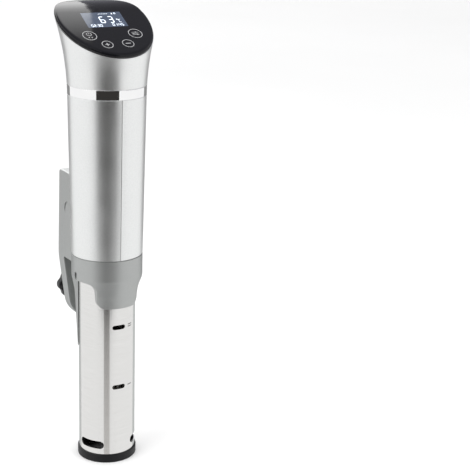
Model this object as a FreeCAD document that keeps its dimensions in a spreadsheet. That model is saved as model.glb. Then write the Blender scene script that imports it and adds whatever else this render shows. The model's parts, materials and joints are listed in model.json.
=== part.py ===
import FreeCAD, Part
import math
import os
import Sketcher

# Sous vide circulator, in millimetres. The origin is the centre of the foot's underside, +Z runs up
# the tube, -Y is the front, where the display and the level slots are, and +Y is the clamp side.

doc = FreeCAD.newDocument("SousVideCirculator")
sheet = doc.addObject("Spreadsheet::Sheet", "dims")
pieces = []


# ---------------------------------------------------------------------------------------------
# Sizes: each one carries its value and its formula, so all that is worked out stays bound
# ---------------------------------------------------------------------------------------------

class Size:
    """A number with the formula that gives it in the sheet's names."""

    def __init__(self, value, text=None):
        self.value = float(value)
        self.text = text or repr(self.value)

    def __add__(self, other):
        other = as_size(other)
        return Size(self.value + other.value, f"({self.text} + {other.text})")

    def __sub__(self, other):
        other = as_size(other)
        return Size(self.value - other.value, f"({self.text} - {other.text})")

    def __mul__(self, other):
        other = as_size(other)
        return Size(self.value * other.value, f"({self.text} * {other.text})")

    def __truediv__(self, other):
        other = as_size(other)
        return Size(self.value / other.value, f"({self.text} / {other.text})")

    def __radd__(self, other):
        return as_size(other) + self

    def __rsub__(self, other):
        return as_size(other) - self

    def __rmul__(self, other):
        return as_size(other) * self

    def __neg__(self):
        return Size(-self.value, f"(0 - {self.text})")


def as_size(number):
    return number if isinstance(number, Size) else Size(number)


def sine(degrees):
    degrees = as_size(degrees)
    return Size(math.sin(math.radians(degrees.value)), f"sin({degrees.text})")


def cosine(degrees):
    degrees = as_size(degrees)
    return Size(math.cos(math.radians(degrees.value)), f"cos({degrees.text})")


def tangent(degrees):
    return sine(degrees) / cosine(degrees)


def driving(alias, value):
    """Writes one driving size into the sheet and returns it as a Size."""
    driving.row += 1
    sheet.set(f"A{driving.row}", alias)
    sheet.set(f"B{driving.row}", str(value))
    sheet.setAlias(f"B{driving.row}", alias)
    return Size(value, "dims." + alias)


driving.row = 0

# Clearances
sliding_gap = driving("sliding_gap", 0.3)        # between pieces that move past each other
seat_gap = driving("seat_gap", 0.1)              # between curved faces of pieces that stay together
running_gap = driving("running_gap", 0.05)       # radial, of a shaft in its bearing

# Levels; each group hangs from the one above it
total_height = driving("total_height", 400.0)
head_height = driving("head_height", 64.4)
ring_height = driving("trim_ring_height", 8.4)
collar_top = driving("collar_top_height", 189.2)
ledge_below_top = driving("ledge_below_collar_top", 17.2)
collar_step_drop = driving("collar_step_drop", 21.2)
collar_waist_drop = driving("collar_waist_drop", 34.2)
apron_drop = driving("apron_drop", 44.0)
tongue_drop = driving("tongue_drop", 85.2)
full_slot_drop = driving("full_slot_drop", 18.2)
slot_spacing = driving("slot_spacing", 55.5)

head_bottom = total_height - head_height
ring_bottom = head_bottom - ring_height
ledge_height = collar_top - ledge_below_top
collar_step_height = collar_top - collar_step_drop
collar_waist_height = collar_top - collar_waist_drop
apron_bottom_height = collar_top - apron_drop
tongue_tip_height = collar_top - tongue_drop
full_slot_level = apron_bottom_height - full_slot_drop
low_slot_level = full_slot_level - slot_spacing

# Radii, from the steel sleeve outwards
tube_radius = driving("tube_radius", 24.75)
tube_wall = driving("tube_wall", 0.8)
foot_lip = driving("foot_lip", 1.2)
chamber_margin = driving("chamber_margin", 3.05)
collar_rim_width = driving("collar_rim_width", 3.0)
body_widening = driving("body_widening", 2.35)
body_wall = driving("body_wall", 1.2)
body_edge = driving("body_edge_rounding", 0.3)
head_lip = driving("head_lip", 0.25)

tube_bore = tube_radius - tube_wall
collar_bore = tube_radius + sliding_gap
foot_radius = tube_radius + foot_lip
chamber_radius = tube_radius + chamber_margin
body_bottom_radius = chamber_radius + collar_rim_width
body_top_radius = body_bottom_radius + body_widening
head_bottom_radius = body_top_radius + head_lip
body_taper = (body_top_radius - body_bottom_radius) / (ring_bottom - collar_top)

# Body seam
seam_width = driving("seam_width", 0.7)
seam_depth = driving("seam_depth", 0.6)
seam_side = driving("seam_side", 1.7)

# Foot, ports and slots of the steel sleeve
foot_height = driving("foot_height", 7.5)
foot_floor = driving("foot_floor", 2.6)
foot_rounding = driving("foot_rounding", 1.1)
port_height = driving("port_height", 7.2)
port_length = driving("port_length", 24.0)
port_level = driving("port_level", 16.4)
port_count = driving("port_count", 3)
slot_length = driving("slot_length", 12.0)
slot_height = driving("slot_height", 4.0)
bayonet_ledge = driving("bayonet_ledge", 1.6)
bayonet_thickness = driving("bayonet_thickness", 1.6)
bayonet_turn = driving("bayonet_turn", 35.0)
bayonet_notch = driving("bayonet_notch_half_angle", 10.0)
lug_width = driving("lug_width", 6.0)
lug_thickness = driving("lug_thickness", 1.6)

bayonet_bottom = foot_height + sliding_gap
lug_bottom = bayonet_bottom + bayonet_thickness + sliding_gap

# Collar
spigot_wall = driving("spigot_wall", 1.6)
spigot_height = driving("spigot_height", 4.0)
waist_thickness = driving("waist_thickness", 3.25)
waist_rounding = driving("waist_rounding", 20.0)
step_rounding = driving("collar_step_rounding", 12.0)
tongue_inset = driving("tongue_bevel_inset", 0.3)
tongue_slope = driving("tongue_bevel_slope", 1.2)
shadow_depth = driving("shadow_groove_depth", 0.7)
shadow_height = driving("shadow_groove_height", 0.6)
tongue_tip_thickness = driving("tongue_tip_thickness", 0.6)
tongue_side = driving("tongue_side", 6.8)
apron_half_width = driving("apron_half_width", 19.0)
apron_flare = driving("apron_flare", 1.3)
apron_rounding = driving("apron_rounding", 7.0)
apron_shoulder = driving("apron_shoulder_rounding", 9.0)
latch_depth = driving("latch_recess_depth", 1.2)
latch_width = driving("latch_recess_width", 3.6)
latch_side = driving("latch_recess_side", 2.7)
latch_length = driving("latch_recess_length", 6.5)
latch_lift = driving("latch_recess_lift", 0.5)

# Head and panel
head_wall = driving("head_wall", 1.6)
flare_radius = driving("flare_radius", 235.0)
flare_start = driving("flare_start", 3.2)
flare_end = driving("flare_end", 19.8)
panel_slope = driving("panel_slope", 28.3)
panel_rear_fall = driving("panel_rear_fall", 5.0)
crest_reach = driving("crest_reach", 18.5)
crest_radius = driving("crest_radius", 45.0)
lens_thickness = driving("lens_thickness", 2.0)
bezel_thickness = driving("bezel_thickness", 1.4)
lens_inset = driving("lens_inset", 0.9)
bezel_inset = driving("bezel_inset", 0.4)
carrier_thickness = driving("carrier_thickness", 2.2)
carrier_gap = driving("carrier_gap", 0.4)
display_reach = driving("display_reach", 5.9)
display_width = driving("display_width", 36.0)
display_length = driving("display_length", 20.0)
display_thickness = driving("display_thickness", 3.0)
display_margin = driving("display_window_margin", 1.5)
display_drop = driving("display_drop", 0.6)
control_width = driving("control_board_width", 48.0)
control_length = driving("control_board_length", 40.0)
control_reach = driving("control_board_reach", 2.0)
control_gap = driving("control_board_gap", 0.3)
buzzer_radius = driving("buzzer_radius", 5.0)
buzzer_side = driving("buzzer_side", 16.0)
buzzer_reach = driving("buzzer_reach", 8.0)

# Clamp
bracket_half_width = driving("bracket_half_width", 18.0)
bracket_rise = driving("bracket_rise", 61.8)
bracket_top_depth = driving("bracket_top_depth", 30.7)
bracket_depth = driving("bracket_depth", 34.7)
bracket_overlap = driving("bracket_overlap", 8.8)
bracket_edge = driving("bracket_edge_rounding", 1.2)
bracket_wall = driving("bracket_wall", 3.0)
slot_top_drop = driving("pot_slot_top_drop", 17.8)
arm_length = driving("arm_length", 53.9)
arm_thickness = driving("arm_thickness", 11.7)
arm_lean = driving("arm_lean", 19.2)
arm_tip_flat = driving("arm_tip_flat", 1.0)
scoop_radius = driving("scoop_radius", 6.5)
scoop_tilt = driving("scoop_tilt", 4.5)
scoop_drop = driving("scoop_drop", 33.0)
scoop_behind_body = driving("scoop_behind_body", 12.7)
screw_drop = driving("screw_drop", 35.4)
screw_radius = driving("screw_radius", 4.0)
screw_neck_step = driving("screw_neck_step", 1.4)
screw_neck_length = driving("screw_neck_length", 2.0)
insert_radius = driving("insert_radius", 6.5)
insert_inset = driving("insert_inset", 0.5)
boss_radius = driving("boss_radius", 9.0)
boss_inset = driving("boss_inset", 5.5)
pad_radius = driving("pad_radius", 8.0)
pad_thickness = driving("pad_thickness", 3.5)
pad_clearance = driving("pad_clearance", 0.4)
facing_thickness = driving("pad_facing_thickness", 1.0)
knob_radius = driving("knob_radius", 13.5)
knob_thickness = driving("knob_thickness", 12.0)
knob_standoff = driving("knob_standoff", 23.5)
knob_cap = driving("knob_cap_thickness", 3.0)
knob_lobes = driving("knob_lobes", 6)
flute_radius = driving("knob_flute_radius", 4.2)

bracket_top = collar_top + bracket_rise
bracket_top_reach = body_bottom_radius + bracket_top_depth
bracket_reach = body_bottom_radius + bracket_depth
bracket_root = body_bottom_radius - bracket_overlap
slot_top_height = collar_top - slot_top_drop
arm_bottom_height = slot_top_height - arm_length
scoop_height = bracket_top - scoop_drop
scoop_reach = body_bottom_radius + scoop_behind_body
screw_height = slot_top_height - screw_drop
boss_reach = bracket_reach - boss_inset
knob_reach = boss_reach + knob_standoff

# Cord gland
gland_drop = driving("gland_drop", 27.2)
gland_neck = driving("gland_neck_radius", 5.0)
gland_bore = driving("gland_bore_radius", 3.5)
gland_lip = driving("gland_lip", 2.0)
gland_tail = driving("gland_tail", 5.0)

gland_height = ring_bottom - gland_drop

# Bulkhead, heater and sensors
bulkhead_thickness = driving("bulkhead_thickness", 6.0)
seal_groove_depth = driving("seal_groove_depth", 1.6)
seal_groove_height = driving("seal_groove_height", 1.8)
seal_cord_radius = driving("seal_cord_radius", 0.8)
rod_radius = driving("heater_rod_radius", 3.0)
rod_spacing = driving("heater_rod_spacing", 12.0)
rod_offset = driving("heater_rod_offset", 10.0)
rod_rise = driving("heater_rod_rise", 6.0)
heater_bottom = driving("heater_bottom_height", 42.0)
nut_margin = driving("gland_nut_margin", 2.0)
nut_height = driving("gland_nut_height", 3.0)
probe_radius = driving("probe_radius", 2.0)
probe_inset = driving("probe_inset", 7.75)
probe_tip = driving("probe_tip_height", 48.0)
electrode_radius = driving("electrode_radius", 1.2)
electrode_side = driving("electrode_side", 8.0)
electrode_inset = driving("electrode_inset", 5.75)
sensor_rise = driving("sensor_rise", 5.0)

probe_offset = tube_radius - probe_inset
electrode_offset = tube_radius - electrode_inset
bulkhead_top = ledge_height + bulkhead_thickness

# Pump
shaft_radius = driving("shaft_radius", 2.5)
shaft_rise = driving("shaft_rise", 6.0)
guide_wall = driving("guide_wall", 1.5)
guide_gap = driving("guide_gap", 1.5)
guide_lift = driving("guide_lift", 9.0)
guide_flange = driving("guide_flange_width", 4.0)
guide_flange_thickness = driving("guide_flange_thickness", 3.0)
bush_length = driving("bush_length", 6.0)
shaft_seal_width = driving("shaft_seal_width", 4.5)
shaft_seal_height = driving("shaft_seal_height", 3.0)
coupling_wall = driving("coupling_wall", 3.5)
coupling_grip = driving("coupling_grip", 2.4)
coupling_web = driving("coupling_web", 0.6)
coupling_top = driving("coupling_top", 3.4)
impeller_radius = driving("impeller_radius", 15.0)
impeller_bottom = driving("impeller_bottom", 12.6)
impeller_height = driving("impeller_height", 8.0)
impeller_plate = driving("impeller_plate", 1.4)
impeller_hub_wall = driving("impeller_hub_wall", 2.0)
impeller_collar = driving("impeller_collar_height", 3.0)
impeller_floor = driving("impeller_floor", 1.0)
impeller_blades = driving("impeller_blades", 6)
blade_thickness = driving("blade_thickness", 1.4)
blade_sweep = driving("impeller_blade_sweep", 3.5)

guide_bottom = impeller_bottom + impeller_height + guide_lift
shaft_top = bulkhead_top + shaft_rise

# Motor and fan
motor_radius = driving("motor_radius", 17.5)
motor_length = driving("motor_length", 48.0)
motor_wall = driving("motor_wall", 1.2)
motor_shaft_radius = driving("motor_shaft_radius", 1.6)
motor_hub = driving("motor_hub_radius", 6.0)
bearing_length = driving("motor_bearing_length", 4.0)
rotor_radius = driving("rotor_radius", 9.0)
rotor_gap = driving("rotor_gap", 0.8)
stator_lift = driving("stator_lift", 6.0)
stator_room = driving("stator_room", 14.0)
stator_slots = driving("stator_slots", 8)
stator_slot_radius = driving("stator_slot_radius", 1.6)
rotor_lift = driving("rotor_lift", 8.0)
rotor_room = driving("rotor_room", 18.0)
mount_height = driving("motor_mount_height", 12.5)
mount_plate = driving("motor_mount_plate", 2.5)
mount_wall = driving("motor_mount_wall", 2.0)
mount_margin = driving("motor_mount_margin", 2.5)
mount_window = driving("motor_mount_window_half_width", 8.0)
mount_screw_radius = driving("mount_screw_radius", 1.45)
mount_screw_inset = driving("mount_screw_inset", 3.9)
mount_screw_length = driving("mount_screw_length", 6.5)
fan_lift = driving("fan_lift", 5.0)
fan_radius = driving("fan_radius", 22.0)
fan_height = driving("fan_height", 8.0)
fan_hub_wall = driving("fan_hub_wall", 4.0)
fan_blades = driving("fan_blades", 7)
fan_blade_sweep = driving("fan_blade_sweep", 6.0)

mount_top = bulkhead_top + mount_height
motor_top = mount_top + motor_length
fan_bottom = motor_top + fan_lift

# Inner frame and mains board
frame_margin = driving("frame_margin", 1.2)
frame_wall = driving("frame_wall", 1.7)
frame_drop = driving("frame_top_drop", 3.5)
frame_flange = driving("frame_flange_thickness", 3.0)
frame_bar = driving("frame_bar_width", 6.0)
frame_end = driving("frame_end_height", 8.0)
frame_window_side = driving("frame_side_window_half_width", 15.0)
frame_window_front = driving("frame_front_window_half_width", 14.0)
board_thickness = driving("board_thickness", 1.6)
board_face = driving("board_face", 6.0)
board_half_width = driving("board_half_width", 23.0)
board_lift = driving("board_lift", 7.0)
board_headroom = driving("board_headroom", 4.0)

frame_radius = body_bottom_radius - body_wall - frame_margin
frame_top = ring_bottom - frame_drop
board_bottom = fan_bottom + fan_height + board_lift


def bind(item, path, size):
    item.setExpression(path, as_size(size).text)


# ---------------------------------------------------------------------------------------------
# Sketches and features
# ---------------------------------------------------------------------------------------------

def new_body(label):
    piece = doc.addObject("PartDesign::Body", label)
    piece.Label = label
    pieces.append(piece)
    return piece


def origin_of(piece, role):
    return [feature for feature in piece.Origin.OriginFeatures if feature.Role == role][0]


def sketch_on(piece, role, offset=0):
    """An empty sketch on one of the body's own planes, moved along the plane's normal."""
    sketch = piece.newObject("Sketcher::SketchObject", piece.Name + "_sketch")
    sketch.AttachmentSupport = (origin_of(piece, role), [""])
    sketch.MapMode = "FlatFace"
    bind(sketch, "AttachmentOffset.Base.z", offset)
    return sketch


def constrain(sketch, kind, *rest):
    """Adds a constraint; one that ends in a Size is bound to the sheet."""
    size = rest[-1] if isinstance(rest[-1], Size) else None
    if size is None:
        sketch.addConstraint(Sketcher.Constraint(kind, *rest))
        return
    index = sketch.addConstraint(Sketcher.Constraint(kind, *rest[:-1], size.value))
    name = f"{kind}_{index}"
    sketch.renameConstraint(index, name)
    bind(sketch, "Constraints." + name, size)


def place(sketch, geometry, point, x, y):
    constrain(sketch, "DistanceX", geometry, point, as_size(x))
    constrain(sketch, "DistanceY", geometry, point, as_size(y))


def circle(sketch, radius, x=0, y=0):
    x, y, radius = as_size(x), as_size(y), as_size(radius)
    centre = FreeCAD.Vector(x.value, y.value, 0)
    index = sketch.addGeometry(Part.Circle(centre, FreeCAD.Vector(0, 0, 1), radius.value))
    place(sketch, index, 3, x, y)
    constrain(sketch, "Radius", index, radius)


def outline(sketch, corners):
    """A closed loop through corners (x, y) or (x, y, radius); a radius rounds its corner."""
    count = len(corners)
    points = [FreeCAD.Vector(as_size(c[0]).value, as_size(c[1]).value, 0) for c in corners]
    radii = [as_size(c[2]) if len(c) > 2 else None for c in corners]
    trims, turns = [], []
    for i in range(count):
        arriving = (points[i] - points[i - 1]).normalize()
        leaving = (points[(i + 1) % count] - points[i]).normalize()
        turn = math.atan2(arriving.cross(leaving).z, arriving.dot(leaving))
        turns.append(turn)
        trims.append(radii[i].value * math.tan(abs(turn) / 2) if radii[i] else 0.0)
    lines = []
    for i in range(count):
        after = (i + 1) % count
        along = (points[after] - points[i]).normalize()
        start = points[i] + along * trims[i]
        finish = points[after] - along * trims[after]
        lines.append(sketch.addGeometry(Part.LineSegment(start, finish)))
    for i in range(count):
        before, after = lines[i - 1], lines[i]
        x, y = corners[i][0], corners[i][1]
        if not radii[i]:
            constrain(sketch, "Coincident", before, 2, after, 1)
            place(sketch, after, 1, x, y)
            continue
        arc = rounded_corner(sketch, points, trims, turns[i], radii[i].value, i)
        first, last = (1, 2) if turns[i] > 0 else (2, 1)
        constrain(sketch, "Tangent", before, 2, arc, first)
        constrain(sketch, "Tangent", after, 1, arc, last)
        constrain(sketch, "Radius", arc, radii[i])
        corner = sketch.addGeometry(Part.Point(points[i]), True)
        constrain(sketch, "PointOnObject", corner, 1, before)
        constrain(sketch, "PointOnObject", corner, 1, after)
        place(sketch, corner, 1, x, y)


def rounded_corner(sketch, points, trims, turn, radius, i):
    """The arc that rounds corner i, running anticlockwise as the sketcher's arcs do."""
    arriving = (points[i] - points[i - 1]).normalize()
    side = 1 if turn > 0 else -1
    inward = FreeCAD.Vector(-arriving.y, arriving.x, 0) * side
    centre = points[i] - arriving * trims[i] + inward * radius
    start = math.atan2(-inward.y, -inward.x)
    begin, end = (start, start + turn) if turn > 0 else (start + turn, start)
    whole = Part.Circle(centre, FreeCAD.Vector(0, 0, 1), radius)
    return sketch.addGeometry(Part.ArcOfCircle(whole, begin, end))


def rectangle(sketch, left, bottom, right, top, rounding=None):
    tail = () if rounding is None else (rounding,)
    outline(sketch, [(left, bottom, *tail), (right, bottom, *tail), (right, top, *tail), (left, top, *tail)])


def stadium(sketch, x, y, length, height):
    """A slot with round ends, centred on (x, y)."""
    x, y, length, height = as_size(x), as_size(y), as_size(length), as_size(height)
    half = (length - height) / 2
    radius = height / 2
    left, right = x.value - half.value, x.value + half.value
    low, high = y.value - radius.value, y.value + radius.value
    up = FreeCAD.Vector(0, 0, 1)
    bottom = sketch.addGeometry(Part.LineSegment(FreeCAD.Vector(left, low, 0), FreeCAD.Vector(right, low, 0)))
    top = sketch.addGeometry(Part.LineSegment(FreeCAD.Vector(right, high, 0), FreeCAD.Vector(left, high, 0)))
    right_circle = Part.Circle(FreeCAD.Vector(right, y.value, 0), up, radius.value)
    left_circle = Part.Circle(FreeCAD.Vector(left, y.value, 0), up, radius.value)
    right_end = sketch.addGeometry(Part.ArcOfCircle(right_circle, -math.pi / 2, math.pi / 2))
    left_end = sketch.addGeometry(Part.ArcOfCircle(left_circle, math.pi / 2, 3 * math.pi / 2))
    constrain(sketch, "Tangent", bottom, 2, right_end, 1)
    constrain(sketch, "Tangent", top, 1, right_end, 2)
    constrain(sketch, "Tangent", top, 2, left_end, 1)
    constrain(sketch, "Tangent", bottom, 1, left_end, 2)
    place(sketch, right_end, 3, x + half, y)
    place(sketch, left_end, 3, x - half, y)
    constrain(sketch, "Radius", right_end, radius)


def settled(feature, sketch, growing):
    """Recomputes a feature and makes sure that it added or removed material."""
    before = feature.BaseFeature.Shape.Volume if feature.BaseFeature else 0.0
    sketch.Visibility = False
    doc.recompute()
    change = feature.Shape.Volume - before
    if (change > 1e-6) != growing or abs(change) < 1e-6:
        raise RuntimeError(f"{feature.Name} changed the volume by {change:.4f}")
    return feature


def pad(piece, sketch, length, middle=False):
    feature = piece.newObject("PartDesign::Pad", piece.Name + "_pad")
    feature.Profile = sketch
    feature.SideType = "Symmetric" if middle else "One side"
    bind(feature, "Length", length)
    return settled(feature, sketch, True)


def pocket(piece, sketch, length=None, along_normal=False, middle=False):
    """Cuts against the sketch's normal, along it, or, with `middle`, both ways; no length cuts all."""
    feature = piece.newObject("PartDesign::Pocket", piece.Name + "_pocket")
    feature.Profile = sketch
    feature.SideType = "Symmetric" if middle else "One side"
    feature.Reversed = along_normal
    if length is None:
        feature.Type = "ThroughAll"
    else:
        bind(feature, "Length", length)
    return settled(feature, sketch, False)


def revolve(piece, sketch, cutting=False, axis="V_Axis"):
    """Turns a sketch about its own vertical or horizontal axis."""
    kind = "PartDesign::Groove" if cutting else "PartDesign::Revolution"
    feature = piece.newObject(kind, piece.Name + ("_groove" if cutting else "_turn"))
    feature.Profile = sketch
    feature.ReferenceAxis = (sketch, [axis])
    feature.Angle = 360
    return settled(feature, sketch, not cutting)


def pattern(piece, features, count, role="Z_Axis"):
    """Repeats features evenly round one of the body's axes."""
    feature = piece.newObject("PartDesign::PolarPattern", piece.Name + "_pattern")
    feature.Originals = features
    feature.Axis = (origin_of(piece, role), [""])
    feature.Angle = 360
    bind(feature, "Occurrences", count)
    piece.Tip = feature
    doc.recompute()
    return feature


def round_edges(piece, radius, wanted):
    """Fillets the edges of the body's tip that `wanted` picks."""
    base = piece.Tip
    names = [f"Edge{i + 1}" for i, edge in enumerate(base.Shape.Edges) if wanted(edge)]
    feature = piece.newObject("PartDesign::Fillet", piece.Name + "_fillet")
    feature.Base = (base, names)
    bind(feature, "Radius", radius)
    doc.recompute()
    return feature


def turned(label, corners, offset=0):
    """A body of revolution about Z from corners (radius, height)."""
    piece = new_body(label)
    sketch = sketch_on(piece, "XZ_Plane", offset)
    outline(sketch, corners)
    revolve(piece, sketch)
    return piece


def ring(label, inner, outer, bottom, height, edge=None):
    tail = () if edge is None else (edge,)
    return turned(label, [(inner, bottom), (outer, bottom, *tail), (outer, bottom + height, *tail),
                          (inner, bottom + height)])


def block(label, left, front, bottom, width, depth, height, edge=None):
    """A box from its lowest corner, with its upright edges rounded."""
    piece = new_body(label)
    sketch = sketch_on(piece, "XY_Plane", bottom)
    rectangle(sketch, left, front, left + width, front + depth, edge)
    pad(piece, sketch, height)
    return piece


# ---------------------------------------------------------------------------------------------
# Shared outlines
# ---------------------------------------------------------------------------------------------

PANEL_REACH = 70.0      # how far the cutting outlines run past the head, front and rear


def body_radius(level):
    """The body sleeve's outer radius at a height."""
    return body_bottom_radius + body_taper * (level - collar_top)


def flare_outline(inset, low):
    """The head's outer profile from `low` up past the panel, moved `inset` towards the axis."""
    half_turn = (flare_end - flare_start) / 2
    reach = flare_radius * tangent(half_turn)
    corner_radius = head_bottom_radius + (reach + 1) * sine(flare_start)
    corner_height = head_bottom + (reach + 1) * cosine(flare_start)
    end_radius = corner_radius + (reach + 6) * sine(flare_end)
    end_height = corner_height + (reach + 6) * cosine(flare_end)
    start_radius = head_bottom_radius + (low - head_bottom) * tangent(flare_start)
    return [(start_radius - inset, low), (corner_radius - inset, corner_height, flare_radius),
            (end_radius - inset, end_height)]


def panel_line(drop):
    """The panel's profile in the YZ plane, from front to rear, `drop` under the outer surface."""
    far = Size(PANEL_REACH)
    crest_centre = total_height - crest_radius
    touch_height = crest_centre + crest_radius * cosine(panel_slope)
    half_turn = (panel_slope + panel_rear_fall) / 2
    corner_reach = crest_reach + crest_radius * tangent(half_turn) * cosine(panel_slope)
    corner_height = touch_height + crest_radius * tangent(half_turn) * sine(panel_slope)
    front_height = touch_height - (far + crest_reach) * tangent(panel_slope)
    rear_height = corner_height - (far - corner_reach) * tangent(panel_rear_fall)
    return [(-far, front_height - drop), (corner_reach, corner_height - drop, crest_radius),
            (far, rear_height - drop)]


def panel_height(reach, drop=0):
    """The height of the panel's straight slope at a distance behind the axis."""
    touch_height = total_height - crest_radius + crest_radius * cosine(panel_slope)
    return touch_height - (crest_reach - reach) * tangent(panel_slope) - drop


def trim_above_panel(piece, drop):
    sketch = sketch_on(piece, "YZ_Plane")
    ceiling = total_height + 60
    outline(sketch, panel_line(drop) + [(PANEL_REACH, ceiling), (-PANEL_REACH, ceiling)])
    pocket(piece, sketch, middle=True)


def trim_below_panel(piece, drop):
    sketch = sketch_on(piece, "YZ_Plane")
    floor = head_bottom - 60
    outline(sketch, [(-PANEL_REACH, floor), (PANEL_REACH, floor)] + panel_line(drop)[::-1])
    pocket(piece, sketch, middle=True)


def panel_slab(label, inset, drop, thickness):
    """A sheet that follows the panel, cut to the head's outline."""
    piece = new_body(label)
    sketch = sketch_on(piece, "XZ_Plane")
    profile = flare_outline(inset, head_bottom)
    outline(sketch, [(0, head_bottom)] + profile + [(0, profile[-1][1])])
    revolve(piece, sketch)
    trim_above_panel(piece, drop)
    trim_below_panel(piece, drop + thickness)
    return piece


def sloped_block(label, width, length, thickness, side, reach, depth):
    """A box lying along the panel's slope, centred at (side, reach), its top `depth` under the panel."""
    piece = doc.addObject("Part::Box", label)
    piece.Label = label
    bind(piece, "Length", width)
    bind(piece, "Width", length)
    bind(piece, "Height", thickness)
    axis = FreeCAD.Vector(1, 0, 0)
    piece.Placement = FreeCAD.Placement(FreeCAD.Vector(), FreeCAD.Rotation(axis, panel_slope.value))
    bind(piece, "Placement.Rotation.Angle", panel_slope)
    along, under = length / 2, as_size(thickness)
    bind(piece, "Placement.Base.x", side - width / 2)
    bind(piece, "Placement.Base.y", reach - along * cosine(panel_slope) + under * sine(panel_slope))
    bind(piece, "Placement.Base.z", panel_height(reach, depth / cosine(panel_slope))
         - along * sine(panel_slope) - under * cosine(panel_slope))
    pieces.append(piece)
    return piece


def cylinder(name, radius, length, base, axis=(0, 0, 1), keep=False):
    """A Part cylinder from the centre of its base along an axis."""
    item = doc.addObject("Part::Cylinder", name)
    bind(item, "Radius", radius)
    bind(item, "Height", length)
    turn = FreeCAD.Rotation(FreeCAD.Vector(0, 0, 1), FreeCAD.Vector(*axis))
    item.Placement = FreeCAD.Placement(FreeCAD.Vector(), turn)
    for letter, size in zip("xyz", base):
        bind(item, "Placement.Base." + letter, size)
    if keep:
        item.Label = name
        pieces.append(item)
    return item


def group(label, items):
    """Separate like solids kept together in one node."""
    piece = doc.addObject("Part::Compound", label)
    piece.Label = label
    piece.Links = items
    pieces.append(piece)
    return piece


def joined(label, items, keep=True):
    piece = doc.addObject("Part::MultiFuse", label)
    piece.Shapes = items
    if keep:
        piece.Label = label
        pieces.append(piece)
    return piece


def screw(name, base, axis, length):
    """A pan-head screw: the base is under its head and the axis points from the head to the tip."""
    head, head_height = 2.8, 2.0
    shank = cylinder(name + "_shank", mount_screw_radius, length, base, axis)
    back = [as_size(b) - head_height * a for b, a in zip(base, axis)]
    cap = cylinder(name + "_head", head, head_height, back, axis)
    return joined(name, [shank, cap], keep=False)


# ---------------------------------------------------------------------------------------------
# Foot and steel sleeve
# ---------------------------------------------------------------------------------------------

def make_foot_cap():
    """A cup whose spigot and two lugs turn under the sleeve's bayonet ring."""
    wall = 2.0
    spigot = tube_bore - bayonet_ledge - sliding_gap
    spigot_top = lug_bottom + lug_thickness
    piece = turned("foot_cap", [
        (0, 0), (foot_radius, 0, foot_rounding), (foot_radius, foot_height, 0.5),
        (spigot, foot_height), (spigot, spigot_top), (spigot - wall, spigot_top),
        (spigot - wall, foot_floor, 1.0), (0, foot_floor)])
    lugs = sketch_on(piece, "XY_Plane", lug_bottom)
    lug_root = spigot - wall / 2
    lug_reach = tube_bore - 2 * sliding_gap
    rectangle(lugs, lug_root, -lug_width / 2, lug_reach, lug_width / 2)
    rectangle(lugs, -lug_reach, -lug_width / 2, -lug_root, lug_width / 2)
    pad(piece, lugs, lug_thickness)


def make_bayonet_ring():
    piece = ring("bayonet_ring", tube_bore - bayonet_ledge, tube_bore, bayonet_bottom, bayonet_thickness)
    notch = sketch_on(piece, "XY_Plane", bayonet_bottom)
    inner, outer = tube_bore - bayonet_ledge - 1, tube_bore + 1
    for turn in (bayonet_turn, bayonet_turn + 180):
        low, high = turn - bayonet_notch, turn + bayonet_notch
        outline(notch, [(inner * cosine(low), inner * sine(low)), (outer * cosine(low), outer * sine(low)),
                        (outer * cosine(high), outer * sine(high)), (inner * cosine(high), inner * sine(high))])
    pocket(piece, notch, bayonet_thickness + 1, along_normal=True)


def make_steel_sleeve():
    """The stainless skirt: water goes in and out at the ports, and the slots show the levels."""
    piece = ring("steel_sleeve", tube_bore, tube_radius, foot_height, ledge_height - 0.5 - foot_height)
    levels = sketch_on(piece, "XZ_Plane")
    stadium(levels, 0, full_slot_level, slot_length, slot_height)
    stadium(levels, 0, low_slot_level, slot_length, slot_height)
    pocket(piece, levels, tube_radius + 2, along_normal=True)
    port = sketch_on(piece, "XZ_Plane")
    stadium(port, 0, port_level, port_length, port_height)
    pattern(piece, [pocket(piece, port, tube_radius + 2)], port_count)


# ---------------------------------------------------------------------------------------------
# Outer housing
# ---------------------------------------------------------------------------------------------

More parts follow.
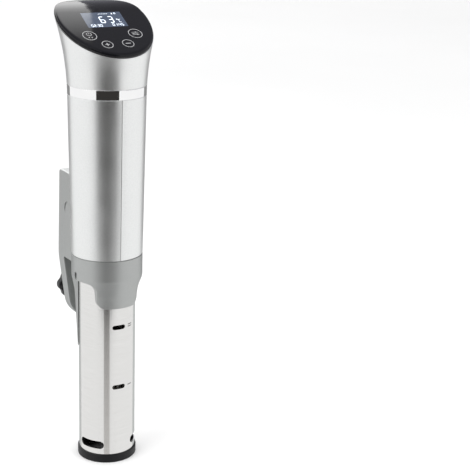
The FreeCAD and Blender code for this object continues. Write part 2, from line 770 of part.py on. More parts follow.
def make_collar():
    """Collar with a front apron, a shadow groove under the body and a rear tongue for the pot wall."""
    waist = tube_radius + waist_thickness
    tip = collar_bore + tongue_tip_thickness
    spigot = chamber_radius + spigot_wall
    groove_floor = collar_top - shadow_height
    step_top = collar_step_height + 1.5
    piece = turned("collar", [
        (collar_bore, tongue_tip_height), (tip, tongue_tip_height),
        (waist, collar_waist_height, waist_rounding),
        (body_bottom_radius, step_top, step_rounding), (body_bottom_radius, groove_floor, 0.25),
        (body_bottom_radius - shadow_depth, groove_floor), (body_bottom_radius - shadow_depth, collar_top),
        (spigot, collar_top), (spigot, collar_top + spigot_height),
        (chamber_radius, collar_top + spigot_height), (chamber_radius, ledge_height),
        (collar_bore, ledge_height)])
    far = body_top_radius + 10
    around = sketch_on(piece, "XZ_Plane", -tongue_side)
    floor = tongue_tip_height - 5
    half_top = apron_half_width + apron_flare / 2
    half_bottom = apron_half_width - apron_flare / 2
    outline(around, [
        (-far, floor), (far, floor), (far, collar_step_height),
        (half_top, collar_step_height, apron_shoulder),
        (half_bottom, apron_bottom_height, apron_rounding),
        (-half_bottom, apron_bottom_height, apron_rounding),
        (-half_top, collar_step_height, apron_shoulder),
        (-far, collar_step_height)])
    pocket(piece, around, tongue_side + far, along_normal=True)
    bevel = sketch_on(piece, "XY_Plane", collar_step_height)
    for side in (1, -1):
        outline(bevel, [
            ((tube_radius - tongue_inset) * side, tongue_side), (far * side, tongue_side),
            (far * side, tongue_side + (far - tube_radius + tongue_inset) * tongue_slope)])
    pocket(piece, bevel, collar_step_height - floor, along_normal=False)
    for face, outwards in ((body_bottom_radius - latch_depth, True), (latch_depth - body_bottom_radius, False)):
        latch = sketch_on(piece, "YZ_Plane", face)
        low = collar_step_height + latch_lift
        left, right = -latch_side - latch_width / 2, latch_width / 2 - latch_side
        rectangle(latch, left, low, right, low + latch_length, latch_width / 3)
        pocket(piece, latch, body_wall + latch_depth, along_normal=outwards)


def make_body_sleeve():
    """Tapered aluminium sleeve with its closing seam down the front and a hole for the cord gland."""
    piece = turned("body_sleeve", [
        (body_bottom_radius - body_wall, collar_top), (body_bottom_radius, collar_top, body_edge),
        (body_top_radius, ring_bottom, body_edge), (body_top_radius - body_wall, ring_bottom)])
    seam = sketch_on(piece, "YZ_Plane", -seam_side)
    low, high = collar_top - 1, ring_bottom + 1
    outline(seam, [(seam_depth - body_radius(low), low), (seam_depth - body_radius(high), high),
                   (-body_top_radius - 5, high), (-body_top_radius - 5, low)])
    pocket(piece, seam, seam_width, middle=True)
    cord_hole = sketch_on(piece, "XZ_Plane")
    circle(cord_hole, gland_neck + seat_gap, 0, gland_height)
    pocket(piece, cord_hole, body_top_radius + 5)


def make_trim_ring():
    """Bright ring between body and head, with a spigot into each of them."""
    spigot_length = 3.0
    lower = body_bottom_radius - seat_gap
    upper = head_bottom_radius - head_wall - seat_gap
    inner = body_bottom_radius - 2.2
    turned("chrome_trim_ring", [
        (inner, ring_bottom - spigot_length), (lower, ring_bottom - spigot_length), (lower, ring_bottom),
        (body_top_radius, ring_bottom, 0.4), (body_top_radius + 0.2, head_bottom, 0.4), (upper, head_bottom),
        (upper, head_bottom + spigot_length), (inner, head_bottom + spigot_length)])


def make_head_shell():
    """Flared shell cut off along the panel's slope."""
    piece = new_body("head_shell")
    sketch = sketch_on(piece, "XZ_Plane")
    outside = flare_outline(0, head_bottom)
    inside = flare_outline(head_wall, head_bottom)
    outside[0] += (body_edge,)
    outline(sketch, outside + inside[::-1])
    revolve(piece, sketch)
    trim_above_panel(piece, lens_thickness + bezel_thickness)


def make_panel():
    """The glossy lens, the bezel it sits on and the tray that carries the display."""
    panel_slab("control_panel_lens", lens_inset, 0, lens_thickness)
    panel_slab("panel_bezel", bezel_inset, lens_thickness, bezel_thickness)
    tray_inset = head_wall + carrier_gap
    tray = panel_slab("panel_carrier", tray_inset, lens_thickness + bezel_thickness, carrier_thickness)
    window = sketch_on(tray, "XY_Plane", head_bottom - 20)
    half_width = display_width / 2 + display_margin
    half_length = (display_length / 2 + display_margin) * cosine(panel_slope)
    rectangle(window, -half_width, display_reach - half_length, half_width, display_reach + half_length)
    pocket(tray, window, along_normal=True)


def make_cord_gland():
    """The rubber gland that the mains lead passes through, behind the body."""
    piece = new_body("cord_gland")
    bind(piece, "Placement.Base.z", gland_height)
    sketch = sketch_on(piece, "YZ_Plane")
    inner_face = body_radius(gland_height) - body_wall - gland_bore
    outer_face = body_radius(gland_height + gland_neck + gland_lip) + seat_gap
    tail_face = outer_face + gland_tail
    outline(sketch, [
        (inner_face, gland_bore), (inner_face, gland_neck), (outer_face, gland_neck),
        (outer_face, gland_neck + gland_lip), (outer_face + gland_lip, gland_neck + gland_lip * 0.8, 1),
        (tail_face, gland_bore + 1.5, 0.6), (tail_face, gland_bore)])
    revolve(piece, sketch, axis="H_Axis")


# ---------------------------------------------------------------------------------------------
# Clamp
# ---------------------------------------------------------------------------------------------

def arm_inner(level):
    """How far behind the axis the arm's inner face is at a height."""
    return bracket_reach - arm_thickness - (slot_top_height - level) * tangent(arm_lean)


def make_clamp_bracket():
    """A hollow block behind the body with an arm that hangs down outside the pot."""
    piece = new_body("clamp_bracket")
    side = sketch_on(piece, "YZ_Plane")
    outer_bottom = arm_inner(arm_bottom_height) + arm_thickness
    outline(side, [
        (bracket_root, bracket_top), (bracket_root, slot_top_height),
        (arm_inner(slot_top_height), slot_top_height, 1.5),
        (arm_inner(arm_bottom_height), arm_bottom_height), (outer_bottom, arm_bottom_height),
        (bracket_reach, slot_top_height, 25), (bracket_top_reach, bracket_top, 3.2)])
    pad(piece, side, bracket_half_width * 2, middle=True)
    tip = sketch_on(piece, "XZ_Plane")
    far = bracket_half_width + 22
    rectangle(tip, -far, arm_bottom_height - 20, far, bracket_top + 20)
    tip_radius = bracket_half_width - arm_tip_flat
    outline(tip, [(-bracket_half_width, bracket_top + 10), (-bracket_half_width, arm_bottom_height, tip_radius),
                  (bracket_half_width, arm_bottom_height, tip_radius), (bracket_half_width, bracket_top + 10)])
    pocket(piece, tip)
    round_edges(piece, bracket_edge, on_bracket_side)
    clear_the_body(piece)
    hollow = sketch_on(piece, "XY_Plane", slot_top_height + bracket_wall)
    half = bracket_half_width - bracket_wall
    rectangle(hollow, -half, bracket_root - 2, half, bracket_top_reach - bracket_wall - 1)
    pocket(piece, hollow, bracket_top - slot_top_height - 2 * bracket_wall, along_normal=True)
    boss = sketch_on(piece, "XZ_Plane", -boss_reach)
    circle(boss, boss_radius, 0, screw_height)
    pad(piece, boss, boss_reach - arm_inner(screw_height) - arm_thickness / 2)
    bore = sketch_on(piece, "XZ_Plane")
    circle(bore, insert_radius, 0, screw_height)
    pocket(piece, bore)
    for side in (1, -1):
        scoop = scoop_sketch(piece, side)
        circle(scoop, scoop_radius, scoop_reach, 0)
        pocket(piece, scoop, 5, along_normal=side > 0)


def scoop_sketch(piece, side):
    """A plane for a thumb scoop: level with the bracket's side at the scoop's foot, sunk at its top."""
    middle = bracket_half_width - scoop_radius * sine(scoop_tilt) - 0.05
    sketch = sketch_on(piece, "YZ_Plane", middle * side)
    place_on_side = FreeCAD.Vector(0, scoop_height.value, middle.value * side)
    tilt = FreeCAD.Rotation(FreeCAD.Vector(-side, 0, 0), scoop_tilt.value)
    sketch.AttachmentOffset = FreeCAD.Placement(place_on_side, tilt)
    bind(sketch, "AttachmentOffset.Base.y", scoop_height)
    bind(sketch, "AttachmentOffset.Rotation.Angle", scoop_tilt)
    return sketch


def on_bracket_side(edge):
    """Picks the long edges of the bracket's two flat sides, away from the body."""
    box = edge.BoundBox
    flat = box.XLength < 1e-6 and abs(abs(box.XMin) - bracket_half_width.value) < 1e-6
    seam = box.ZLength < 1e-6 and box.ZMax < slot_top_height.value - 1
    return flat and not seam and box.YMax > bracket_root.value + 1


def clear_the_body(piece):
    """Cuts the bracket back from the body sleeve and the collar."""
    envelope = sketch_on(piece, "XZ_Plane")
    top = bracket_top + 10
    outline(envelope, [
        (0, slot_top_height - 10), (body_bottom_radius + seat_gap, slot_top_height - 10),
        (body_bottom_radius + seat_gap, collar_top), (body_radius(top) + seat_gap, top), (0, top)])
    revolve(piece, envelope, cutting=True)


def clamp_piece(label):
    """A body drawn about the Y axis and lifted to the clamp screw's height."""
    piece = new_body(label)
    bind(piece, "Placement.Base.z", screw_height)
    return piece


def disc_along_y(piece, rear, length, radius, bore=None):
    """A disc round the clamp's axis whose rear face is at `rear`."""
    sketch = sketch_on(piece, "XZ_Plane", -rear)
    circle(sketch, radius)
    if bore is not None:
        circle(sketch, bore)
    pad(piece, sketch, length)


pad_back = arm_inner(screw_height) - pad_radius * tangent(arm_lean) - pad_clearance


def make_clamp_screw():
    """Insert, screw, swivelling pressure pad and the pad's rubber facing."""
    insert = clamp_piece("threaded_insert")
    rear = boss_reach - insert_inset
    front = arm_inner(screw_height) + pad_radius / 2
    disc_along_y(insert, rear, rear - front, insert_radius, screw_radius + running_gap)
    screw_piece = clamp_piece("clamp_screw")
    rear = knob_reach - knob_cap
    front = pad_back + pad_clearance
    neck_radius = screw_radius - screw_neck_step
    disc_along_y(screw_piece, rear, rear - front, screw_radius)
    disc_along_y(screw_piece, front, screw_neck_length, neck_radius)
    pressure = clamp_piece("pressure_pad")
    disc_along_y(pressure, pad_back, pad_thickness, pad_radius)
    socket = sketch_on(pressure, "XZ_Plane", -(pad_back - screw_neck_length))
    circle(socket, neck_radius + running_gap)
    pocket(pressure, socket)
    facing = clamp_piece("pad_facing")
    disc_along_y(facing, pad_back - pad_thickness, facing_thickness, pad_radius - pad_clearance)


def make_clamp_knob():
    """Lobed knob with a chamfered back, moulded round the end of the screw."""
    knob = clamp_piece("clamp_knob")
    front = knob_reach - knob_thickness
    profile = sketch_on(knob, "YZ_Plane")
    outline(profile, [
        (front, screw_radius), (front, screw_radius + 3), (front + 3.5, knob_radius - 3, 1.5),
        (front + 5, knob_radius, 1.5), (knob_reach - 1.5, knob_radius, 1.5), (knob_reach, knob_radius - 5),
        (knob_reach, 0), (knob_reach - knob_cap, 0), (knob_reach - knob_cap, screw_radius)])
    revolve(knob, profile, axis="H_Axis")
    flute = sketch_on(knob, "XZ_Plane", -knob_reach - 1)
    circle(flute, flute_radius, 0, knob_radius + flute_radius / 2)
    pattern(knob, [pocket(knob, flute, knob_thickness + 2, along_normal=True)], knob_lobes, "Y_Axis")


# ---------------------------------------------------------------------------------------------
# Pump, heater and sensors
# ---------------------------------------------------------------------------------------------

def make_bulkhead():
    """Seals the wet tube from the motor and holds the heater, probes and shaft guide."""
    bore = shaft_radius + guide_gap
    radius = chamber_radius - seat_gap
    groove_floor = radius - seal_groove_depth
    middle = ledge_height + bulkhead_thickness / 2
    low, high = middle - seal_groove_height / 2, middle + seal_groove_height / 2
    piece = turned("bulkhead", [
        (bore, ledge_height), (radius, ledge_height), (radius, low), (groove_floor, low),
        (groove_floor, high), (radius, high), (radius, bulkhead_top), (bore, bulkhead_top)])
    holes = sketch_on(piece, "XY_Plane", ledge_height)
    for x, y in heater_ends():
        circle(holes, rod_radius + seat_gap, x, y)
    circle(holes, probe_radius + seat_gap, 0, -probe_offset)
    for side in (-1, 1):
        circle(holes, electrode_radius + seat_gap, electrode_side * side, -electrode_offset)
    pocket(piece, holes, bulkhead_thickness + 1, along_normal=True)
    drill_for_mount(piece)
    seal = doc.addObject("Part::Torus", "bulkhead_seal")
    seal.Label = "bulkhead_seal"
    bind(seal, "Radius1", groove_floor + seal_cord_radius + running_gap)
    bind(seal, "Radius2", seal_cord_radius)
    bind(seal, "Placement.Base.z", middle)
    pieces.append(seal)


def heater_ends():
    return [(rod_spacing * a, rod_offset * b) for a in (-1, 1) for b in (-1, 1)]


def make_heater():
    """Two hairpin heating rods, one each side of the shaft, with sealing nuts above the bulkhead."""
    top = bulkhead_top + rod_rise
    hairpins = []
    for side in (-1, 1):
        legs = []
        for end in (-1, 1):
            base = (rod_spacing * end, rod_offset * side, heater_bottom)
            legs.append(cylinder(f"heater_leg_{side + 1}_{end + 1}", rod_radius, top - heater_bottom, base))
        bend = doc.addObject("Part::Torus", f"heater_bend_{side + 1}")
        bind(bend, "Radius1", rod_spacing)
        bind(bend, "Radius2", rod_radius)
        bend.Angle3 = 180
        bend.Placement = FreeCAD.Placement(FreeCAD.Vector(), FreeCAD.Rotation(FreeCAD.Vector(1, 0, 0), -90))
        bind(bend, "Placement.Base.y", rod_offset * side)
        bind(bend, "Placement.Base.z", heater_bottom)
        hairpins.append(joined(f"heater_hairpin_{side + 1}", legs + [bend], keep=False))
    group("heater_rods", hairpins)
    nuts = []
    for number, (x, y) in enumerate(heater_ends()):
        prism = doc.addObject("Part::Prism", f"gland_nut_{number}")
        prism.Polygon = 6
        bind(prism, "Circumradius", rod_radius + nut_margin)
        bind(prism, "Height", nut_height)
        base = (x, y, bulkhead_top - 1)
        hole = cylinder(f"gland_nut_hole_{number}", rod_radius + seat_gap, nut_height + 2, base)
        bind(prism, "Placement.Base.x", x)
        bind(prism, "Placement.Base.y", y)
        bind(prism, "Placement.Base.z", bulkhead_top)
        nut = doc.addObject("Part::Cut", f"heater_nut_{number}")
        nut.Base = prism
        nut.Tool = hole
        nuts.append(nut)
    group("heater_gland_nuts", nuts)


def make_sensors():
    """Temperature probe and the two electrodes that find the water level."""
    top = bulkhead_top + sensor_rise
    probe = turned("temperature_probe", [
        (0, probe_tip), (probe_radius, probe_tip, probe_radius - 0.1), (probe_radius, top), (0, top)])
    bind(probe, "Placement.Base.y", -probe_offset)
    rods = [cylinder(f"electrode_{side + 1}", electrode_radius, top - low_slot_level,
                     (electrode_side * side, -electrode_offset, low_slot_level)) for side in (-1, 1)]
    group("level_electrodes", rods)


def make_pump():
    """Shaft guide, bushes, drive shaft, coupling and impeller."""
    bore = shaft_radius + guide_gap
    outer = bore + guide_wall
    flange = outer + guide_flange
    flange_bottom = ledge_height - guide_flange_thickness
    turned("shaft_guide", [
        (bore, guide_bottom), (outer, guide_bottom, 0.4), (outer, flange_bottom), (flange, flange_bottom),
        (flange, ledge_height), (bore, ledge_height)])
    running_bore = shaft_radius + running_gap
    bottoms = (guide_bottom + 1, flange_bottom - bush_length)
    bushes = [tube(f"shaft_bush_{i}", running_bore, bore, low, bush_length) for i, low in enumerate(bottoms)]
    group("shaft_bushes", bushes)
    ring("shaft_seal", running_bore, shaft_radius + shaft_seal_width, bulkhead_top, shaft_seal_height, 0.8)
    shaft_bottom = impeller_bottom + impeller_floor
    cylinder("drive_shaft", shaft_radius, shaft_top - shaft_bottom, (0, 0, shaft_bottom), keep=True)
    outer = shaft_radius + coupling_wall
    low, web, high = shaft_top - coupling_grip, shaft_top + coupling_web, shaft_top + coupling_top
    turned("shaft_coupling", [
        (0, shaft_top), (shaft_radius, shaft_top), (shaft_radius, low), (outer, low, 0.5),
        (outer, high, 0.5), (motor_shaft_radius, high), (motor_shaft_radius, web), (0, web)])
    length = fan_bottom + fan_height - web
    cylinder("motor_shaft", motor_shaft_radius, length, (0, 0, web), keep=True)
    make_impeller()


def tube(name, inner, outer, bottom, length):
    """A plain tube about Z."""
    solid = cylinder(name + "_outside", outer, length, (0, 0, bottom))
    hole = cylinder(name + "_inside", inner, length, (0, 0, bottom))
    piece = doc.addObject("Part::Cut", name)
    piece.Base = solid
    piece.Tool = hole
    return piece


def make_impeller():
    """Hub on the shaft, a top plate and curved-back blades."""
    top = impeller_bottom + impeller_height
    plate_bottom = top - impeller_plate
    socket = impeller_bottom + impeller_floor
    hub = shaft_radius + impeller_hub_wall
    collar = hub + 0.4
    collar_end = top + impeller_collar
    piece = turned("impeller", [
        (0, impeller_bottom), (hub, impeller_bottom, 1), (hub, plate_bottom), (impeller_radius, plate_bottom),
        (impeller_radius, top), (collar, top), (collar, collar_end), (shaft_radius, collar_end),
        (shaft_radius, socket), (0, socket)])
    blade = sketch_on(piece, "XY_Plane", socket)
    root = shaft_radius + 1
    bend = impeller_radius * 0.6
    half = blade_thickness / 2
    bend_sweep = blade_sweep * 0.25
    outline(blade, [
        (root, -half), (bend, -half - bend_sweep), (impeller_radius - 0.6, -half - blade_sweep),
        (impeller_radius - 0.9, half - blade_sweep), (bend, half - bend_sweep), (root, half)])
    pattern(piece, [pad(piece, blade, impeller_height - impeller_floor - 0.6)], impeller_blades)


# ---------------------------------------------------------------------------------------------
# Motor, fan and electronics
# ---------------------------------------------------------------------------------------------

def make_motor_mount():
    """A stool over the bulkhead that carries the motor clear of the seal and coupling."""
    outer = motor_radius + mount_margin
    inner = outer - mount_wall
    flange = chamber_radius - 1
    flange_top = bulkhead_top + mount_plate
    ceiling = mount_top - mount_plate
    piece = turned("motor_mount", [
        (inner, bulkhead_top), (flange, bulkhead_top), (flange, flange_top), (outer, flange_top),
        (outer, mount_top), (motor_hub + seat_gap, mount_top), (motor_hub + seat_gap, ceiling),
        (inner, ceiling)])
    window = sketch_on(piece, "XZ_Plane")
    rectangle(window, -mount_window, flange_top + 1, mount_window, ceiling - 1, 1)
    pocket(piece, window, middle=True)
    notch = sketch_on(piece, "XY_Plane", bulkhead_top - 1)
    for x, y in heater_ends():
        circle(notch, rod_radius + nut_margin + 1, x, y)
    circle(notch, probe_radius + 0.8, 0, -probe_offset)
    for side in (-1, 1):
        circle(notch, electrode_radius + 1.5, electrode_side * side, -electrode_offset)
    pocket(piece, notch, rod_rise + 2, along_normal=True)
    drill_for_mount(piece)
    screws = []
    for i in range(3):
        place_under_head = mount_screw_place(i, flange_top)
        screws.append(screw(f"mount_screw_{i}", place_under_head, (0, 0, -1), mount_screw_length))
    group("motor_mount_screws", screws)


def mount_screw_place(index, level):
    """Where one of the three screws through the motor mount's flange goes."""
    radius = chamber_radius - mount_screw_inset
    angle = as_size(index * 120 + 60)
    return (radius * cosine(angle), radius * sine(angle), level)


def drill_for_mount(piece):
    """Clears the mount screws: right through the mount's flange and partly into the bulkhead."""
    depth = mount_screw_length - mount_plate + 0.2
    holes = sketch_on(piece, "XY_Plane", bulkhead_top - depth)
    for i in range(3):
        x, y, level = mount_screw_place(i, bulkhead_top)
        circle(holes, mount_screw_radius + running_gap, x, y)
    pocket(piece, holes, depth + mount_height, along_normal=True)


def make_motor():
    """Can, bearings, stator and rotor of the pump motor."""
    bearing_bore = motor_shaft_radius + running_gap
    can_bore = motor_shaft_radius + 1
    hub = motor_hub
    inner = motor_radius - motor_wall
    floor, low = mount_top - mount_plate, mount_top - mount_plate + motor_wall
    ceiling = motor_top - motor_wall
    high = ceiling - bearing_length
    turned("motor_can", [
        (can_bore, floor), (hub, floor), (hub, mount_top), (motor_radius, mount_top, 1),
        (motor_radius, motor_top, 1), (can_bore, motor_top), (can_bore, ceiling), (hub, ceiling), (hub, high),
        (hub + 1, high), (hub + 1, ceiling), (inner, ceiling), (inner, mount_top + motor_wall),
        (hub - 1, mount_top + motor_wall), (hub - 1, low), (can_bore, low)])
    group("motor_bearings", [tube("motor_bearing_low", bearing_bore, hub - 1, low, bearing_length),
                             tube("motor_bearing_high", bearing_bore, hub, high, bearing_length)])
    bore = rotor_radius + rotor_gap
    stator = ring("motor_stator", bore, inner, mount_top + stator_lift, motor_length - stator_room)
    slots = sketch_on(stator, "XY_Plane", mount_top + stator_lift - 1)
    circle(slots, stator_slot_radius, 0, (bore + inner) / 2 + 0.2)
    pattern(stator, [pocket(stator, slots, along_normal=True)], stator_slots)
    rotor_length = motor_length - rotor_room
    ring("motor_rotor", motor_shaft_radius, rotor_radius, mount_top + rotor_lift, rotor_length, 0.6)


def make_fan():
    """Cooling fan on the upper end of the motor shaft."""
    hub = motor_shaft_radius + fan_hub_wall
    piece = ring("cooling_fan", motor_shaft_radius, hub, fan_bottom, fan_height, 0.6)
    blade = sketch_on(piece, "XY_Plane", fan_bottom + 1)
    root = hub - 0.8
    half = Size(0.8)
    bend_sweep = fan_blade_sweep * 0.25
    outline(blade, [
        (root, -half), (fan_radius * 0.6, bend_sweep - half), (fan_radius, fan_blade_sweep - half),
        (fan_radius - 1, fan_blade_sweep + half / 4), (fan_radius * 0.55, bend_sweep + half), (root, half)])
    pattern(piece, [pad(piece, blade, fan_height - 2)], fan_blades)


def make_inner_frame():
    """Cage inside the body sleeve that carries the electronics."""
    base = collar_top + spigot_height
    wide = body_bottom_radius - body_wall - sliding_gap
    inner = frame_radius - frame_wall
    flange_top, flange_bottom = base + frame_flange, frame_top - frame_flange
    piece = turned("inner_frame", [
        (inner, base), (wide, base), (wide, flange_top), (frame_radius, flange_top),
        (frame_radius, flange_bottom), (wide, flange_bottom), (wide, frame_top), (inner, frame_top)])
    middle = (base + frame_top) / 2
    for role, half_width in (("YZ_Plane", frame_window_side), ("XZ_Plane", frame_window_front)):
        windows = sketch_on(piece, role)
        rectangle(windows, -half_width, base + frame_end, half_width, middle - frame_bar / 2, 3)
        rectangle(windows, -half_width, middle + frame_bar / 2, half_width, frame_top - frame_end, 3)
        pocket(piece, windows, middle=True)


def make_electronics():
    """The mains board stands on edge across the frame with its parts on both sides."""
    rear = board_face + board_thickness
    block("power_board", -board_half_width, board_face, board_bottom, board_half_width * 2, board_thickness,
          frame_top - board_bottom - board_headroom)
    low_row, middle_row, high_row = board_bottom + 4, board_bottom + 31, board_bottom + 41
    depth = 19
    block("power_transformer", -12, board_face - depth, low_row, 24, depth, 22, 1.5)
    depth = 15
    block("power_relay", -14, board_face - depth, middle_row, 13, depth, 20, 0.8)
    depth = 17
    cylinder("filter_capacitor", 6, depth, (9, board_face - depth, high_row), (0, 1, 0), keep=True)
    block("mains_terminals", -10, rear, board_bottom + 50, 20, 9, 9, 0.6)
    fuse_radius = 2.6
    cylinder("mains_fuse", fuse_radius, 20, (-20, rear + fuse_radius, board_bottom + 45), (1, 0, 0), keep=True)
    triac_depth, plate_depth, fin_depth = 4.5, 2.5, 7
    block("heater_triac", -5, rear, board_bottom + 14, 10, triac_depth, 15)
    half_width, height, fin_width, fins = 15, 34, 2, 6
    plate = rear + triac_depth
    sink = block("heat_sink", -half_width, plate, low_row, half_width * 2, plate_depth, height)
    fin = sketch_on(sink, "XY_Plane", low_row)
    spacing = (2 * half_width - fin_width) / (fins - 1)
    for i in range(fins):
        left = -half_width + i * spacing
        rectangle(fin, left, plate + plate_depth - 0.5, left + fin_width, plate + plate_depth + fin_depth - 0.5)
    pad(sink, fin, height)


def make_display():
    """Display, control board and buzzer under the panel."""
    under = lens_thickness + bezel_thickness + display_drop
    sloped_block("display_module", display_width, display_length, display_thickness, 0, display_reach, under)
    board_depth = under + display_thickness + control_gap
    sloped_block("control_board", control_width, control_length, board_thickness, 0, control_reach, board_depth)
    piece = cylinder("buzzer", buzzer_radius, buzzer_radius, (buzzer_side, 0, 0), keep=True)
    axis = FreeCAD.Vector(1, 0, 0)
    piece.Placement.Rotation = FreeCAD.Rotation(axis, panel_slope.value)
    bind(piece, "Placement.Rotation.Angle", panel_slope)
    sunk = board_depth + board_thickness + buzzer_radius
    bind(piece, "Placement.Base.y", buzzer_reach + sunk * sine(panel_slope))
    bind(piece, "Placement.Base.z", panel_height(buzzer_reach) - sunk * cosine(panel_slope))


make_foot_cap()
make_bayonet_ring()
make_steel_sleeve()
make_collar()
make_body_sleeve()
make_trim_ring()
make_head_shell()
make_panel()
make_cord_gland()
make_clamp_bracket()
make_clamp_screw()
make_clamp_knob()
make_bulkhead()
make_heater()
make_sensors()
make_pump()
make_motor_mount()
make_motor()
make_fan()
make_inner_frame()
make_electronics()
make_display()


# ---------------------------------------------------------------------------------------------
# Check and write
# ---------------------------------------------------------------------------------------------

doc.recompute()
for item in doc.Objects:
    if "Invalid" in item.State or "Error" in item.State:
        raise RuntimeError(f"{item.Name} failed: {item.State}")
for piece in pieces:
    if piece.Shape.isNull() or not piece.Shape.isValid() or not piece.Shape.Solids:
        raise RuntimeError(f"{piece.Label} has no valid solid")

os.makedirs("parts", exist_ok=True)
for piece in pieces:
    piece.Shape.exportStep(os.path.join("parts", piece.Label + ".step"))
print(len(pieces), "nodes written")
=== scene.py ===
import json
import math

import bmesh
import bpy
from mathutils import Matrix, Vector
from mathutils.bvhtree import BVHTree


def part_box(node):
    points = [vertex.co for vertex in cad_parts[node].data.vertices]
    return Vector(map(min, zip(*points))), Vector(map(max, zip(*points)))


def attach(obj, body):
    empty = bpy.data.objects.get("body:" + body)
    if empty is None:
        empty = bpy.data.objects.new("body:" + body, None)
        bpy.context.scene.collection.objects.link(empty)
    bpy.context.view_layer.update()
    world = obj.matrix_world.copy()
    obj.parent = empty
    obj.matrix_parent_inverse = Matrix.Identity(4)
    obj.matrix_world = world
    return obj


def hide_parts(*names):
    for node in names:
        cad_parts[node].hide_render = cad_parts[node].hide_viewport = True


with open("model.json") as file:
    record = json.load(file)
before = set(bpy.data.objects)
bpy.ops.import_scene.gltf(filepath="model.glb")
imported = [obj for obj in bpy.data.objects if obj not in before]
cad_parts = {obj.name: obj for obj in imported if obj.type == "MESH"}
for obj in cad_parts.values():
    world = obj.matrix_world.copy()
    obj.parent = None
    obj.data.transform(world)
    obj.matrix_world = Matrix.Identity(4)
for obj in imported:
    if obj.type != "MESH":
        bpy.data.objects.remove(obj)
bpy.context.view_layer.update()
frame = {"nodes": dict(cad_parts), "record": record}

# Sous vide circulator. Metres in the CAD frame: +Z runs up the sleeve, -Y is the front that the
# panel faces, and +Y is the clamp side.

MM = 0.001
nodes = frame["nodes"]


# ---------------------------------------------------------------------------------------------
# Materials
# ---------------------------------------------------------------------------------------------

class Paint:
    """A node material with short calls for the nodes that the finishes share."""

    def __init__(self, name, **sockets):
        self.material = bpy.data.materials.new(name)
        self.material.use_nodes = True
        self.tree = self.material.node_tree
        self.shader = self.tree.nodes["Principled BSDF"]
        self.coords = self.node("ShaderNodeTexCoord").outputs["Object"]
        for socket, value in sockets.items():
            self.shader.inputs[socket.replace("_", " ")].default_value = value

    def node(self, kind, **settings):
        made = self.tree.nodes.new(kind)
        for key, value in settings.items():
            setattr(made, key, value)
        return made

    def link(self, output, target):
        self.tree.links.new(output, target)

    def stretched(self, x, y, z):
        """Object coordinates scaled along each axis, for grain that runs one way."""
        mapping = self.node("ShaderNodeMapping")
        mapping.inputs["Scale"].default_value = (x, y, z)
        self.link(self.coords, mapping.inputs["Vector"])
        return mapping.outputs["Vector"]

    def noise(self, scale, detail=3.0, vector=None):
        made = self.node("ShaderNodeTexNoise")
        made.inputs["Scale"].default_value = scale
        made.inputs["Detail"].default_value = detail
        self.link(vector or self.coords, made.inputs["Vector"])
        return made.outputs["Fac"]

    def spread(self, value, low, high, start=0.3, end=0.7):
        """Maps a noise onto a range of numbers."""
        made = self.node("ShaderNodeMapRange")
        made.inputs["From Min"].default_value = start
        made.inputs["From Max"].default_value = end
        made.inputs["To Min"].default_value = low
        made.inputs["To Max"].default_value = high
        self.link(value, made.inputs["Value"])
        return made.outputs["Result"]

    def tint(self, value, dark, light):
        """Mixes two colours by a noise and sends the result to the base colour."""
        ramp = self.node("ShaderNodeValToRGB")
        ramp.color_ramp.elements[0].position = 0.3
        ramp.color_ramp.elements[0].color = (*dark, 1)
        ramp.color_ramp.elements[1].position = 0.7
        ramp.color_ramp.elements[1].color = (*light, 1)
        self.link(value, ramp.inputs["Fac"])
        self.link(ramp.outputs["Color"], self.shader.inputs["Base Color"])
        return ramp

    def bump(self, height, depth, strength=1.0):
        """Raises the surface by a height map, `depth` metres at full height."""
        made = self.node("ShaderNodeBump")
        made.inputs["Strength"].default_value = strength
        made.inputs["Distance"].default_value = depth
        self.link(height, made.inputs["Height"])
        self.link(made.outputs["Normal"], self.shader.inputs["Normal"])

    def roughness(self, value, low, high):
        self.link(self.spread(value, low, high), self.shader.inputs["Roughness"])


def satin_aluminium():
    """Bead-blasted, clear-anodised aluminium: a fine grain and soft reflections."""
    paint = Paint("satin_aluminium", Metallic=1.0)
    paint.tint(paint.noise(900, 4), (0.85, 0.86, 0.855), (0.905, 0.915, 0.91))
    paint.roughness(paint.noise(60, 3), 0.33, 0.38)
    paint.bump(paint.noise(4200, 2), 0.004 * MM, 0.3)
    return paint.material


def polished_chrome():
    """Mirror plating with the faintest wiping marks."""
    paint = Paint("polished_chrome", Metallic=1.0)
    paint.tint(paint.noise(40, 2), (0.94, 0.94, 0.945), (0.97, 0.97, 0.97))
    paint.roughness(paint.noise(260, 4, paint.stretched(1, 1, 6)), 0.02, 0.06)
    return paint.material


def brushed_steel():
    """Stainless tube polished round its axis, so the grain lies in level rings."""
    paint = Paint("brushed_steel", Metallic=1.0)
    rings = paint.stretched(60, 60, 9000)
    grain = paint.noise(1.0, 3, rings)
    paint.tint(grain, (0.74, 0.735, 0.72), (0.83, 0.825, 0.815))
    paint.roughness(grain, 0.11, 0.17)
    paint.bump(grain, 0.001 * MM, 0.25)
    return paint.material


def machined_steel():
    """Bare steel of the shaft, screw and fasteners."""
    paint = Paint("machined_steel", Metallic=1.0)
    grain = paint.noise(3000, 3)
    paint.tint(grain, (0.60, 0.60, 0.61), (0.72, 0.72, 0.73))
    paint.roughness(grain, 0.2, 0.34)
    return paint.material


def grey_plastic():
    """Satin silver-grey moulding with a fine spark-eroded grain and metal flake in it."""
    paint = Paint("grey_plastic", Metallic=0.85)
    paint.tint(paint.noise(2600, 3), (0.40, 0.41, 0.405), (0.475, 0.485, 0.48))
    paint.roughness(paint.noise(420, 3), 0.36, 0.42)
    paint.bump(paint.noise(2400, 3), 0.006 * MM, 0.25)
    return paint.material


